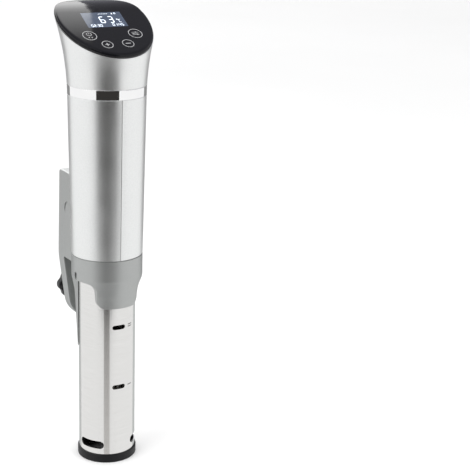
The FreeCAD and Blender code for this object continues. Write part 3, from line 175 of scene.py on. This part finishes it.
def lens_black():
    """Black glass-like acrylic with a clear gloss."""
    paint = Paint("lens_black", Specular_IOR_Level=0.25)
    paint.tint(paint.noise(500, 2), (0.004, 0.004, 0.005), (0.006, 0.006, 0.008))
    paint.roughness(paint.noise(180, 4), 0.02, 0.05)
    return paint.material


def gloss_black():
    """Black moulded plastic with a soft gloss."""
    paint = Paint("gloss_black")
    paint.tint(paint.noise(1400, 3), (0.008, 0.008, 0.009), (0.014, 0.014, 0.015))
    paint.roughness(paint.noise(500, 3), 0.16, 0.28)
    paint.bump(paint.noise(1800, 2), 0.01 * MM, 0.3)
    return paint.material


def foot_black():
    """Matt black moulding that stands in the water."""
    paint = Paint("foot_black", Specular_IOR_Level=0.18)
    paint.tint(paint.noise(1500, 3), (0.009, 0.009, 0.010), (0.015, 0.015, 0.016))
    paint.roughness(paint.noise(600, 3), 0.34, 0.48)
    paint.bump(paint.noise(2600, 3), 0.03 * MM, 0.5)
    return paint.material


def black_rubber():
    paint = Paint("black_rubber")
    paint.tint(paint.noise(900, 4), (0.018, 0.018, 0.018), (0.032, 0.032, 0.032))
    paint.roughness(paint.noise(400, 3), 0.6, 0.8)
    paint.bump(paint.noise(3000, 3), 0.03 * MM, 0.5)
    return paint.material


def inner_plastic():
    paint = Paint("inner_plastic")
    paint.tint(paint.noise(300, 3), (0.66, 0.65, 0.61), (0.74, 0.73, 0.69))
    paint.roughness(paint.noise(500, 3), 0.4, 0.55)
    paint.bump(paint.noise(1500, 3), 0.02 * MM, 0.3)
    return paint.material


def machined_brass():
    paint = Paint("machined_brass", Metallic=1.0)
    grain = paint.noise(2500, 3)
    paint.tint(grain, (0.68, 0.50, 0.22), (0.80, 0.62, 0.32))
    paint.roughness(grain, 0.22, 0.38)
    return paint.material


def circuit_board():
    paint = Paint("circuit_board")
    paint.tint(paint.noise(700, 2), (0.012, 0.10, 0.035), (0.02, 0.15, 0.05))
    paint.roughness(paint.noise(300, 3), 0.3, 0.4)
    return paint.material


def component_black():
    paint = Paint("component_black")
    paint.tint(paint.noise(600, 3), (0.03, 0.03, 0.033), (0.05, 0.05, 0.055))
    paint.roughness(paint.noise(400, 3), 0.4, 0.55)
    return paint.material


def iron_core():
    """Stacked laminations: fine level layers."""
    paint = Paint("iron_core", Metallic=0.7)
    layers = paint.noise(1.0, 2, paint.stretched(20, 20, 4000))
    paint.tint(layers, (0.20, 0.18, 0.17), (0.36, 0.34, 0.32))
    paint.roughness(layers, 0.4, 0.6)
    paint.bump(layers, 0.05 * MM, 0.5)
    return paint.material


def display_glass():
    """The dim face of the display under the lens."""
    paint = Paint("display_glass", Emission_Strength=1.0)
    ramp = paint.tint(paint.noise(350, 2), (0.030, 0.040, 0.062), (0.040, 0.052, 0.078))
    paint.link(ramp.outputs["Color"], paint.shader.inputs["Emission Color"])
    paint.roughness(paint.noise(180, 4), 0.03, 0.06)
    return paint.material


def display_light():
    """Lit figures, a little uneven as a diffuser makes them."""
    paint = Paint("display_light", Emission_Strength=0.75, Roughness=0.2)
    ramp = paint.tint(paint.noise(600, 2), (0.72, 0.84, 1.0), (0.92, 0.96, 1.0))
    paint.link(ramp.outputs["Color"], paint.shader.inputs["Emission Color"])
    return paint.material


def print_grey():
    """Screen-printed pale grey ink."""
    paint = Paint("print_grey")
    paint.tint(paint.noise(1500, 3), (0.34, 0.34, 0.35), (0.44, 0.44, 0.45))
    paint.roughness(paint.noise(800, 3), 0.3, 0.45)
    return paint.material


def etched_mark():
    """Laser-darkened steel."""
    paint = Paint("etched_mark", Metallic=0.6)
    paint.tint(paint.noise(2500, 3), (0.10, 0.10, 0.10), (0.17, 0.17, 0.17))
    paint.roughness(paint.noise(900, 3), 0.45, 0.6)
    return paint.material


FINISHES = {
    "satin_aluminium": satin_aluminium(),
    "mirror_chrome": polished_chrome(),
    "stainless_steel": brushed_steel(),
    "grey_plastic": grey_plastic(),
    "gloss_black": lens_black(),
    "black_plastic": gloss_black(),
    "foot_plastic": foot_black(),
    "black_rubber": black_rubber(),
    "inner_plastic": inner_plastic(),
    "brass": machined_brass(),
    "circuit_board": circuit_board(),
    "component_black": component_black(),
    "iron_core": iron_core(),
    "heat_sink_metal": machined_steel(),
    "display_glass": display_glass(),
}
LIGHT = display_light()
INK = print_grey()
ETCH = etched_mark()

for part in frame["record"]["subparts"]:
    mesh = nodes[part["node"]].data
    mesh.materials.clear()
    mesh.materials.append(FINISHES[part["material_slot"]])


# ---------------------------------------------------------------------------------------------
# Mesh tools
# ---------------------------------------------------------------------------------------------

def new_piece(name, bm, material, body, smooth=None):
    """Turns a bmesh into a piece that rides on a body; `smooth` is the angle, in degrees, from
    which its edges stay sharp."""
    bmesh.ops.recalc_face_normals(bm, faces=bm.faces)
    mesh = bpy.data.meshes.new(name)
    if smooth is not None:
        for face in bm.faces:
            face.smooth = True
        for edge in bm.edges:
            open_edge = len(edge.link_faces) != 2
            edge.smooth = open_edge or edge.calc_face_angle() < math.radians(smooth)
    bm.to_mesh(mesh)
    bm.free()
    mesh.materials.append(material)
    piece = bpy.data.objects.new(name, mesh)
    bpy.context.scene.collection.objects.link(piece)
    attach(piece, body)
    return piece


def skin(bm, rings, closed_ends=True):
    """Joins rings of equal point counts into a tube and caps its ends."""
    loops = [[bm.verts.new(p) for p in ring] for ring in rings]
    count = len(loops[0])
    for low, high in zip(loops, loops[1:]):
        for i in range(count):
            after = (i + 1) % count
            bm.faces.new((low[i], low[after], high[after], high[i]))
    if closed_ends:
        bm.faces.new(loops[0][::-1])
        bm.faces.new(loops[-1])
    return loops


def tree_of(node):
    """A search tree over a CAD node's surface."""
    mesh = nodes[node].data
    points = [v.co.copy() for v in mesh.vertices]
    faces = [tuple(p.vertices) for p in mesh.polygons]
    return BVHTree.FromPolygons(points, faces)


def steps(count):
    """Shares of a whole, from 0 up to but not including 1."""
    return [i / count for i in range(count)]


# ---------------------------------------------------------------------------------------------
# Panel: lens, display and touch marks
# ---------------------------------------------------------------------------------------------

PANEL_SLOPE = math.radians(28.3)
CREST_RADIUS = 45 * MM
CREST_REACH = 18.5 * MM         # where the straight slope runs into the crest
RIM_WIDTH = 2.4 * MM           # of the lens's rounded rim, seen from above
RIM_DROP = 1.5 * MM            # from the rim's corner to where it meets the side
LENS_SIDE = 1.9 * MM           # from the rim's corner to the foot of the lens
INK_THICKNESS = 0.05 * MM

panel_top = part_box("control_panel_lens")[1].z
crest_y = CREST_REACH + CREST_RADIUS * math.sin(PANEL_SLOPE)
crest_centre = Vector((0, crest_y, panel_top - CREST_RADIUS))
panel_right = Vector((1, 0, 0))
panel_up = Vector((0, math.cos(PANEL_SLOPE), math.sin(PANEL_SLOPE)))
panel_out = panel_right.cross(panel_up)


def panel_height(y):
    """The lens's upper surface at a distance behind the axis."""
    if y < CREST_REACH:
        touch = crest_centre.z + CREST_RADIUS * math.cos(PANEL_SLOPE)
        return touch - (CREST_REACH - y) * math.tan(PANEL_SLOPE)
    return crest_centre.z + math.sqrt(CREST_RADIUS ** 2 - (y - crest_centre.y) ** 2)


def on_panel(right, up, lift=0.0):
    """A point of the panel's flat slope, in mm from above the axis, `lift` metres off the lens."""
    origin = Vector((0, 0, panel_height(0)))
    return origin + panel_right * right * MM + panel_up * up * MM + panel_out * lift


def make_lens():
    """The lens with a rounded rim, fitted to the CAD lens's outline."""
    cad = tree_of("control_panel_lens")
    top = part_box("control_panel_lens")[1].z
    clear = 0.1                # a distance well outside the lens
    search = (0.02, 0.06)      # radii that the outline lies between
    halvings = 22
    around, inward, rim_steps = 240, 22, 10
    columns = []
    for turn in steps(around):
        out = Vector((math.cos(turn * 2 * math.pi), math.sin(turn * 2 * math.pi), 0))
        near, far = search
        for _ in range(halvings):
            middle = (near + far) / 2
            above = out * middle + Vector((0, 0, top + clear))
            hit = cad.ray_cast(above, Vector((0, 0, -1)))[0]
            near, far = (middle, far) if hit else (near, middle)
        rim = out * near + Vector((0, 0, panel_height(out.y * near)))

        def side(drop):
            start = out * clear + Vector((0, 0, rim.z - drop))
            return cad.ray_cast(start, -out)[0] or rim - Vector((0, 0, drop))

        flat = out * (near - RIM_WIDTH)
        flat.z = panel_height(flat.y)
        down = side(RIM_DROP)
        edge = []
        for share in steps(rim_steps)[1:] + [1.0]:
            edge.append(flat * (1 - share) ** 2 + rim * 2 * share * (1 - share) + down * share ** 2)
        middle_rings = []
        for k in range(1, inward):
            point = out * (near - RIM_WIDTH) * (k / inward)
            point.z = panel_height(point.y)
            middle_rings.append(point)
        columns.append(middle_rings + [flat] + edge + [side(LENS_SIDE)])
    bm = bmesh.new()
    rings = [[column[k] for column in columns] for k in range(len(columns[0]))]
    loops = skin(bm, rings, closed_ends=False)
    centre = bm.verts.new((0, 0, panel_height(0)))
    for i in range(around):
        bm.faces.new((centre, loops[0][i], loops[0][(i + 1) % around]))
    bm.faces.new(loops[-1])
    lens = new_piece("panel_lens", bm, FINISHES["gloss_black"], "housing", 45)
    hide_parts("control_panel_lens")


def prism(bm, outline, thickness=INK_THICKNESS, lift=0.0):
    """A flat patch on the panel from an outline in mm."""
    low = [bm.verts.new(on_panel(x, y, lift)) for x, y in outline]
    high = [bm.verts.new(on_panel(x, y, lift + thickness)) for x, y in outline]
    bm.faces.new(low[::-1])
    bm.faces.new(high)
    for i in range(len(outline)):
        after = (i + 1) % len(outline)
        bm.faces.new((low[i], low[after], high[after], high[i]))


def stroke(bm, points, width, closed=False, lift=0.0):
    """A line of even width through points, in mm, raised off the lens."""
    count = len(points)
    left, right = [], []
    for i, point in enumerate(points):
        before = points[i - 1] if closed or i else point
        after = points[(i + 1) % count] if closed or i < count - 1 else point
        along = Vector(after) - Vector(before)
        across = Vector((-along.y, along.x)).normalized() * width / 2
        left.append(Vector(point) + across)
        right.append(Vector(point) - across)
    if not closed:
        prism(bm, left + right[::-1], lift=lift)
        return
    rings = [[on_panel(p.x, p.y, lift) for p in side] for side in (left, right)]
    tops = [[on_panel(p.x, p.y, lift + INK_THICKNESS) for p in side] for side in (left, right)]
    section = (rings[0], rings[1], tops[1], tops[0])
    loops = [[bm.verts.new(p) for p in ring] for ring in section]
    for k, here in enumerate(loops):
        there = loops[(k + 1) % len(loops)]
        for i in range(count):
            after = (i + 1) % count
            bm.faces.new((here[i], here[after], there[after], there[i]))


def arc(x, y, radius, start=0.0, end=360.0, count=48):
    """Points on an arc, angles in degrees from the panel's right."""
    whole = abs(end - start) >= 360
    gaps = count if whole else count - 1
    points = []
    for i in range(count):
        angle = math.radians(start + (end - start) * i / gaps)
        points.append((x + radius * math.cos(angle), y + radius * math.sin(angle)))
    return points


def rounded_box(x, y, width, height, radius, count=8):
    """The outline of a box round a centre, with `count` points on each rounded corner."""
    corners = []
    for quarter, (side, level) in enumerate(((1, 1), (-1, 1), (-1, -1), (1, -1))):
        centre_x = x + side * (width / 2 - radius)
        centre_y = y + level * (height / 2 - radius)
        corners += arc(centre_x, centre_y, radius, quarter * 90, quarter * 90 + 90, count)
    return corners


SEGMENTS = {
    "0": "abcdef", "1": "bc", "2": "abged", "3": "abgcd", "4": "fgbc", "5": "afgcd", "6": "afgedc",
    "C": "adef"}
SEGMENT_GAP = 0.12             # at each end of a segment, as a share of its weight


def figure(bm, sign, x, y, width, height, weight):
    """One seven-segment figure from its lower left corner."""
    gap = weight * SEGMENT_GAP
    left, right = x + weight / 2, x + width - weight / 2
    bottom, middle, top = y + weight / 2, y + height / 2, y + height - weight / 2
    ends = {
        "a": ((left, top), (right, top)), "b": ((right, middle), (right, top)),
        "c": ((right, bottom), (right, middle)), "d": ((left, bottom), (right, bottom)),
        "e": ((left, bottom), (left, middle)), "f": ((left, middle), (left, top)),
        "g": ((left, middle), (right, middle))}
    for segment in SEGMENTS[sign]:
        (x0, y0), (x1, y1) = ends[segment]
        half = weight / 2
        if y0 == y1:
            x0, x1 = x0 + gap, x1 - gap
            outline = [(x0, y0), (x0 + half, y0 - half), (x1 - half, y0 - half), (x1, y0),
                       (x1 - half, y0 + half), (x0 + half, y0 + half)]
        else:
            y0, y1 = y0 + gap, y1 - gap
            outline = [(x0, y0), (x0 + half, y0 + half), (x0 + half, y1 - half), (x0, y1),
                       (x0 - half, y1 - half), (x0 - half, y0 + half)]
        prism(bm, outline, lift=INK_THICKNESS)


def figures(bm, signs, x, y, width, height, weight, spacing):
    """A row of figures; a colon takes the room of its dots."""
    dot = weight * 1.1
    dot_levels = (0.28, 0.68)
    for sign in signs:
        if sign == ":":
            for level in dot_levels:
                outline = rounded_box(x + dot / 2, y + height * level, dot, dot, dot * 0.3, 3)
                prism(bm, outline, lift=INK_THICKNESS)
            x += dot + spacing
        else:
            figure(bm, sign, x, y, width, height, weight)
            x += width + spacing


def make_display():
    """The display's window and what it shows: a temperature, two small counters and a status row."""
    bm = bmesh.new()
    prism(bm, rounded_box(x=0.2, y=6.8, width=35.8, height=20.4, radius=0.6))
    new_piece("display_window", bm, FINISHES["display_glass"], "housing")

    bm = bmesh.new()
    for sign, x in (("6", -3.9), ("3", 3.9)):
        figure(bm, sign, x, y=2.1, width=4.4, height=9.0, weight=0.85)
    stroke(bm, arc(11.6, 6.6, 0.55, count=20), 0.35, closed=True, lift=INK_THICKNESS)
    figure(bm, "C", 12.6, y=2.5, width=2.2, height=4.2, weight=0.5)
    new_piece("display_temperature", bm, LIGHT, "housing")

    bm = bmesh.new()
    for signs, x, y in (("02:30", -14.4, -2.6), ("01:45", 4.8, -2.4)):
        figures(bm, signs, x, y, width=1.9, height=3.4, weight=0.42, spacing=0.5)
    bar_count, bar_start, bar_pitch = 6, -1.9, 1.45
    for number in range(bar_count):
        x = bar_start + number * bar_pitch
        outline = rounded_box(x, y=14.8, width=0.95, height=0.5, radius=0.15, count=3)
        prism(bm, outline, lift=INK_THICKNESS)
    arrow = [(9.2, 14.0), (10.6, 14.0), (9.9, 15.9)]
    prism(bm, arrow, lift=INK_THICKNESS)
    stroke(bm, arc(12.6, 14.9, 0.8, count=20), 0.4, closed=True, lift=INK_THICKNESS)
    new_piece("display_counters", bm, LIGHT, "housing")


TOUCH_RINGS = {                # each ring's centre, right and up the panel, and radius, in mm
    "start": (-21.1, -13.8, 5.8),
    "settings": (19.9, -13.8, 5.8),
    "more": (-10.4, -26.6, 4.6),
    "less": (8.1, -26.5, 4.8)}
RING_WEIGHT = 0.55


def touch_ring(name):
    """A printed ring and its centre; the caller draws the sign inside it."""
    x, y, radius = TOUCH_RINGS[name]
    bm = bmesh.new()
    stroke(bm, arc(x, y, radius, count=72), RING_WEIGHT, closed=True)
    return bm, x, y


def make_touch_marks():
    """Four printed rings: start and unit, settings, more and less. They sense touch and don't
    travel."""
    bm, x, y = touch_ring("start")
    power_weight = 0.5
    stroke(bm, arc(x, y + 1.8, 2.1, 128, 412, 32), power_weight)
    stroke(bm, [(x, y + 1.9), (x, y + 4.4)], power_weight)
    for side in (-1, 1):
        prism(bm, arc(x + side * 1.3, y - 2.5, 0.6, count=16))
    new_piece("touch_mark_start", bm, INK, "housing")

    bm, x, y = touch_ring("settings")
    row_pitch, row_half, row_weight, bead = 1.7, 3, 0.42, 0.62
    for row, bead_place in ((-1, 1.5), (0, -1.5), (1, 0.8)):
        level = y + row * row_pitch
        stroke(bm, [(x - row_half, level), (x + row_half, level)], row_weight)
        prism(bm, arc(x + bead_place, level, bead, count=16), INK_THICKNESS * 1.2)
    new_piece("touch_mark_settings", bm, INK, "housing")

    bm, x, y = touch_ring("more")
    arm, half = 2.0, 0.38
    prism(bm, [(x - arm, y - half), (x - half, y - half), (x - half, y - arm), (x + half, y - arm),
               (x + half, y - half), (x + arm, y - half), (x + arm, y + half), (x + half, y + half),
               (x + half, y + arm), (x - half, y + arm), (x - half, y + half), (x - arm, y + half)])
    new_piece("touch_mark_more", bm, INK, "housing")

    bm, x, y = touch_ring("less")
    bar_half, bar_weight = 2.4, 0.8
    stroke(bm, [(x - bar_half, y), (x + bar_half, y)], bar_weight)
    new_piece("touch_mark_less", bm, INK, "housing")


# ---------------------------------------------------------------------------------------------
# Clamp screw and knob
# ---------------------------------------------------------------------------------------------

THREAD_PITCH = 1.5 * MM
THREAD_DEPTH = 0.75 * MM
THREAD_FLANK = 0.42            # from crest to root, as a share of the pitch
NECK_RADIUS = 2.6 * MM
NECK_LENGTH = 2.0 * MM
NECK_GAP = 0.2 * MM            # between the neck and the first turn


def about_clamp(radius, angle, y):
    """A point round the clamp screw's axis."""
    low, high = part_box("clamp_screw")
    axis = Vector(((low.x + high.x) / 2, 0, (low.z + high.z) / 2))
    return axis + Vector((math.cos(angle) * radius, y, math.sin(angle) * radius))


def make_clamp_screw():
    """The screw with a real right-hand thread and the plain neck that the pad swivels on."""
    low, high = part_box("clamp_screw")
    outer = (high.x - low.x) / 2
    thread_start = low.y + NECK_LENGTH + NECK_GAP
    around, per_turn = 40, 8
    turns = (high.y - thread_start) / THREAD_PITCH
    rings = [[about_clamp(NECK_RADIUS, t * 2 * math.pi, y) for t in steps(around)]
             for y in (low.y, low.y + NECK_LENGTH)]
    for step in range(int(turns * per_turn)):
        y = thread_start + step * THREAD_PITCH / per_turn
        taper = min(1.0, step / per_turn)
        ring = []
        for t in steps(around):
            phase = (step / per_turn + t) % 1.0
            height = max(0.0, 1 - abs(phase - 0.5) / THREAD_FLANK)
            radius = outer - THREAD_DEPTH * (1 - height * taper)
            ring.append(about_clamp(radius, t * 2 * math.pi, y))
        rings.append(ring)
    bm = bmesh.new()
    skin(bm, rings)
    screw = new_piece("threaded_clamp_screw", bm, FINISHES["stainless_steel"], "clamp_turner",
                      40)
    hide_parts("clamp_screw")


KNOB_LOBES = 6
HOLLOW_DEPTH = 0.13            # of the finger hollows, as a share of the knob's radius
HOLLOW_START = 0.45            # the radius, as a share, inside which the knob is round
HOLLOW_RISE = 1.5              # how the hollows deepen outwards
HOLLOW_SHAPE = 1.6             # above 1 the hollows are narrower than the lobes
KNOB_PROFILE = (               # shares of the radius and of the depth, from the hub to the dish
    (0.30, 0.0), (0.50, 0.0), (0.54, 0.015), (0.60, 0.16), (0.72, 0.27), (0.90, 0.335),
    (0.96, 0.37), (0.99, 0.42), (1.0, 0.50), (1.0, 0.74), (0.985, 0.83), (0.94, 0.90),
    (0.86, 0.95), (0.72, 0.985), (0.55, 1.0), (0.48, 0.995), (0.44, 0.965), (0.40, 0.945),
    (0.2, 0.94))


def make_knob():
    """A lobed knob: six finger hollows, soft rims and a shallow dish in its back."""
    low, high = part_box("clamp_knob")
    radius = (high.z - low.z) / 2
    depth = high.y - low.y
    around = 192
    rings = []
    for share, along in KNOB_PROFILE:
        outwards = max(0.0, min(1.0, (share - HOLLOW_START) / (1 - HOLLOW_START)))
        bite = HOLLOW_DEPTH * outwards ** HOLLOW_RISE
        ring = []
        for t in steps(around):
            angle = t * 2 * math.pi
            wave = 0.5 + 0.5 * math.cos(KNOB_LOBES * (angle + math.pi / 2))
            reach = radius * share * (1 - bite * wave ** HOLLOW_SHAPE)
            ring.append(about_clamp(reach, angle, low.y + depth * along))
        rings.append(ring)
    bm = bmesh.new()
    skin(bm, rings)
    knob = new_piece("lobed_knob", bm, FINISHES["black_plastic"], "clamp_turner", 40)
    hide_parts("clamp_knob")


# ---------------------------------------------------------------------------------------------
# Marks on the sleeve
# ---------------------------------------------------------------------------------------------

LEVEL_BARS = {"full": (127.0, 2), "low": (71.5, 1)}      # height in mm and number of bars
BAR_PITCH = 1.9 * MM
BAR_HALF = 0.38 * MM
BAR_START = 22.0               # degrees round the sleeve from the front
BAR_SPAN = 11.0
BAR_STEPS = 8
BAR_FOOT = 0.04 * MM           # under the sleeve's surface
BAR_FACE = 0.03 * MM           # above it


def make_level_marks():
    """Plain etched bars beside the two level slots, in place of lettering."""
    low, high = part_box("steel_sleeve")
    radius = (high.x - low.x) / 2
    inner, outer = radius - BAR_FOOT, radius + BAR_FACE
    section = ((inner, -BAR_HALF), (outer, -BAR_HALF), (outer, BAR_HALF), (inner, BAR_HALF))
    for name, (level, count) in LEVEL_BARS.items():
        bm = bmesh.new()
        for number in range(count):
            middle = level * MM + (number - (count - 1) / 2) * BAR_PITCH
            rings = []
            for step in range(BAR_STEPS + 1):
                angle = math.radians(-90 + BAR_START + BAR_SPAN * step / BAR_STEPS)
                across = Vector((math.cos(angle), math.sin(angle), 0))
                rings.append([across * r + Vector((0, 0, middle + z)) for r, z in section])
            skin(bm, rings)
        new_piece(f"level_mark_{name}", bm, ETCH, "skirt")


make_lens()
make_display()
make_touch_marks()
make_clamp_screw()
make_knob()
make_level_marks()


# ---------------------------------------------------------------------------------------------
# Camera, floor and light
# ---------------------------------------------------------------------------------------------

CAMERA_AZIMUTH = math.radians(-25)
CAMERA_DISTANCE = 1.088
CAMERA_HEIGHT = 0.5302
CAMERA_PITCH = math.radians(16.62)
CAMERA_YAW = math.radians(5.827)
CAMERA_ROLL = math.radians(1.7)
LENS_LENGTH = 100.34


def make_camera():
    """A camera in front of the panel and to its left, above the head and looking down."""
    ahead = Vector((-math.sin(CAMERA_AZIMUTH), math.cos(CAMERA_AZIMUTH), 0))
    across = Vector((math.cos(CAMERA_AZIMUTH), math.sin(CAMERA_AZIMUTH), 0))
    level = ahead * math.cos(CAMERA_YAW) + across * math.sin(CAMERA_YAW)
    right = across * math.cos(CAMERA_YAW) - ahead * math.sin(CAMERA_YAW)
    forward = level * math.cos(CAMERA_PITCH) - Vector((0, 0, math.sin(CAMERA_PITCH)))
    up = right.cross(forward)
    rolled_right = right * math.cos(CAMERA_ROLL) + up * math.sin(CAMERA_ROLL)
    rolled_up = up * math.cos(CAMERA_ROLL) - right * math.sin(CAMERA_ROLL)
    data = bpy.data.cameras.new("camera")
    data.lens = LENS_LENGTH
    camera = bpy.data.objects.new("camera", data)
    turn = Matrix((rolled_right, rolled_up, -forward)).transposed().to_4x4()
    place = -ahead * CAMERA_DISTANCE + Vector((0, 0, CAMERA_HEIGHT))
    camera.matrix_world = Matrix.Translation(place) @ turn
    bpy.context.scene.collection.objects.link(camera)
    bpy.context.scene.camera = camera


def staged(name, points, material):
    """A flat card or floor that isn't part of the object."""
    mesh = bpy.data.meshes.new(name)
    mesh.from_pydata([tuple(p) for p in points], [], [list(range(len(points)))])
    mesh.materials.append(material)
    card = bpy.data.objects.new(name, mesh)
    bpy.context.scene.collection.objects.link(card)
    return card


def glowing(name, colour, strength, fade=None):
    """An even light, or one that fades along an axis: fade is (axis, start, end, end strength)."""
    material = bpy.data.materials.new(name)
    material.use_nodes = True
    tree = material.node_tree
    tree.nodes.remove(tree.nodes["Principled BSDF"])
    emission = tree.nodes.new("ShaderNodeEmission")
    emission.inputs["Color"].default_value = (*colour, 1)
    emission.inputs["Strength"].default_value = strength
    tree.links.new(emission.outputs["Emission"], tree.nodes["Material Output"].inputs["Surface"])
    if fade:
        axis, start, end, last = fade
        coords = tree.nodes.new("ShaderNodeTexCoord")
        split = tree.nodes.new("ShaderNodeSeparateXYZ")
        span = tree.nodes.new("ShaderNodeMapRange")
        tree.links.new(coords.outputs["Object"], split.inputs["Vector"])
        tree.links.new(split.outputs[axis], span.inputs["Value"])
        tree.links.new(span.outputs["Result"], emission.inputs["Strength"])
        span.inputs["From Min"].default_value = start
        span.inputs["From Max"].default_value = end
        span.inputs["To Min"].default_value = strength
        span.inputs["To Max"].default_value = last
    return material


def reflected_card(name, points, material):
    """A card seen in reflections and nowhere else."""
    card = staged(name, points, material)
    card.visible_camera = False
    card.visible_diffuse = False
    card.visible_shadow = False
    card.visible_transmission = False


def around(azimuth, distance, height=0.0):
    """A point at an azimuth from the camera's side of the object, in degrees, left negative."""
    angle = CAMERA_AZIMUTH + math.radians(azimuth)
    return Vector((math.sin(angle) * distance, -math.cos(angle) * distance, height))


def area_light(name, place, target, width, height, power):
    data = bpy.data.lights.new(name, "AREA")
    data.shape = "RECTANGLE"
    data.size, data.size_y = width, height
    data.energy = power
    light = bpy.data.objects.new(name, data)
    light.location = place
    light.rotation_euler = (Vector(target) - Vector(place)).to_track_quat("-Z", "Y").to_euler()
    light.visible_camera = False
    light.visible_glossy = False
    bpy.context.scene.collection.objects.link(light)


FRONT_DISTANCE = 1.25                # from the axis to the cards on the camera's side
BACK_AZIMUTHS = (134, 180, 226)
BACK_DISTANCES = (2, 2.2, 2)


def upright_card(name, material, low, high, foot, head=None, distances=None):
    """A card between two heights. Foot and head are azimuths from left to right; the head takes
    the foot's when it has none of its own."""
    distances = distances or [FRONT_DISTANCE] * len(foot)
    points = [around(azimuth, distance, low) for azimuth, distance in zip(foot, distances)]
    above = [around(azimuth, distance, high) for azimuth, distance in zip(head or foot, distances)]
    reflected_card(name, points + above[::-1], material)


def make_floor_and_lights():
    """White studio: a pale floor under soft, even light."""
    scene = bpy.context.scene
    scene.view_settings.view_transform = "Standard"
    world = bpy.data.worlds.new("studio")
    world.use_nodes = True
    world.node_tree.nodes["Background"].inputs["Color"].default_value = (1, 1, 1, 1)
    world.node_tree.nodes["Background"].inputs["Strength"].default_value = 0.95
    scene.world = world

    floor_paint = Paint("floor", Roughness=0.9, Emission_Strength=0.07)
    floor_paint.tint(floor_paint.noise(2, 2), (0.88, 0.88, 0.88), (0.90, 0.90, 0.90))
    floor_paint.shader.inputs["Emission Color"].default_value = (1, 1, 1, 1)
    side = 6.0
    corners = [(-side, -side, 0), (side, -side, 0), (side, side, 0), (-side, side, 0)]
    floor = staged("floor", corners, floor_paint.material)
    floor.visible_glossy = False

    middle = Vector((0, 0, 0.2))
    area_light("key", around(-55, 1.3, 1.5), middle, 1.2, 1.2, 12)
    area_light("fill", around(60, 1.4, 1.0), middle, 1.0, 1.4, 7)


def make_front_cards():
    """Dark cards behind the camera. Their edges are the edges of the dark bands in the metal."""
    left, right = -31, 35
    dark_foot = -0.1           # of the band that the housing shows
    fade_foot = -0.2           # of the fade that runs into the collar's shadow
    front = glowing("front_dark", (0.9, 0.85, 0.8), 0.04)
    upright_card("front_flag", front, dark_foot, 1.4, (left, right))
    lower = glowing("front_fading", (1, 0.98, 0.96), 0.04, ("Z", -0.10, -0.24, 0.30))
    upright_card("lower_flag", lower, fade_foot, dark_foot, (-25, 28), (left, right))
    collar_dark = glowing("collar_dark", (1, 1, 1), 0.02)
    upright_card("collar_flag", collar_dark, fade_foot, -0.11, (-40, 40))
    strip = glowing("strip_grey", (1, 0.98, 0.96), 0.35, ("Z", -0.30, -0.52, 0.6))
    upright_card("strip_flag", strip, -0.66, -0.262, (-11, 11))
    upright_card("low_flag", collar_dark, -2.6, -0.68, (-38, 38))


def make_back_cards():
    """Grey cards behind the object, for the edges of the housing and the tube."""
    join = -0.45
    back = glowing("back_dark", (1, 1, 1), 0.28)
    upright_card("back_flag", back, join, 0.9, BACK_AZIMUTHS, distances=BACK_DISTANCES)
    back_low = glowing("back_grey", (0.97, 1, 1), 0.6)
    upright_card("back_low_card", back_low, -2.2, join, BACK_AZIMUTHS, distances=BACK_DISTANCES)


def make_overhead_cards():
    """Cards above for the sloping lens: a dim one and a softbox that meet along a bowed edge,
    and a rim light over the camera's left."""
    ceiling = 2.2
    left, right, front, back = -1, 9, -1.6, 15
    edge = [(x, y, ceiling) for x, y in (
        (0.872, 0.79), (0.944, 1.18), (1.04, 1.56), (1.245, 2.21), (1.6, 3.23), (1.95, 4.1),
        (2.37, 5.2), (2.98, 6.6), (4.85, 10.9), (6.8, 15.0))]
    box_start, box_middle = 0.79, 1.56
    near = (0.32, front, ceiling)
    overhead = glowing("overhead_dark", (0.9, 0.9, 1), 0.5)
    reflected_card("overhead_flag", [
        near, (right, front, ceiling), (right, back, ceiling), *edge[::-1],
        (left, box_start, ceiling), (left, front, ceiling)], overhead)
    softbox = glowing("softbox", (1, 1, 1), 0.5, ("Y", 0.80, 0.9, 5.0))
    reflected_card("softbox_card", [
        *edge[:3], (left, box_middle, ceiling), (left, box_start, ceiling)], softbox)
    softbox_end = glowing("softbox_end", (1, 1, 1), 5.0, ("Y", box_middle, 4.0, 2.4))
    reflected_card("softbox_end_card", [
        *edge[2:], (left, back, ceiling), (left, box_middle, ceiling)], softbox_end)
    rim = glowing("rim_light", (1, 1, 1), 3.0)
    upright_card("rim_card", rim, 1.43, 2.1, (-100, -45, 10))


make_camera()
make_floor_and_lights()
make_front_cards()
make_back_cards()
make_overhead_cards()
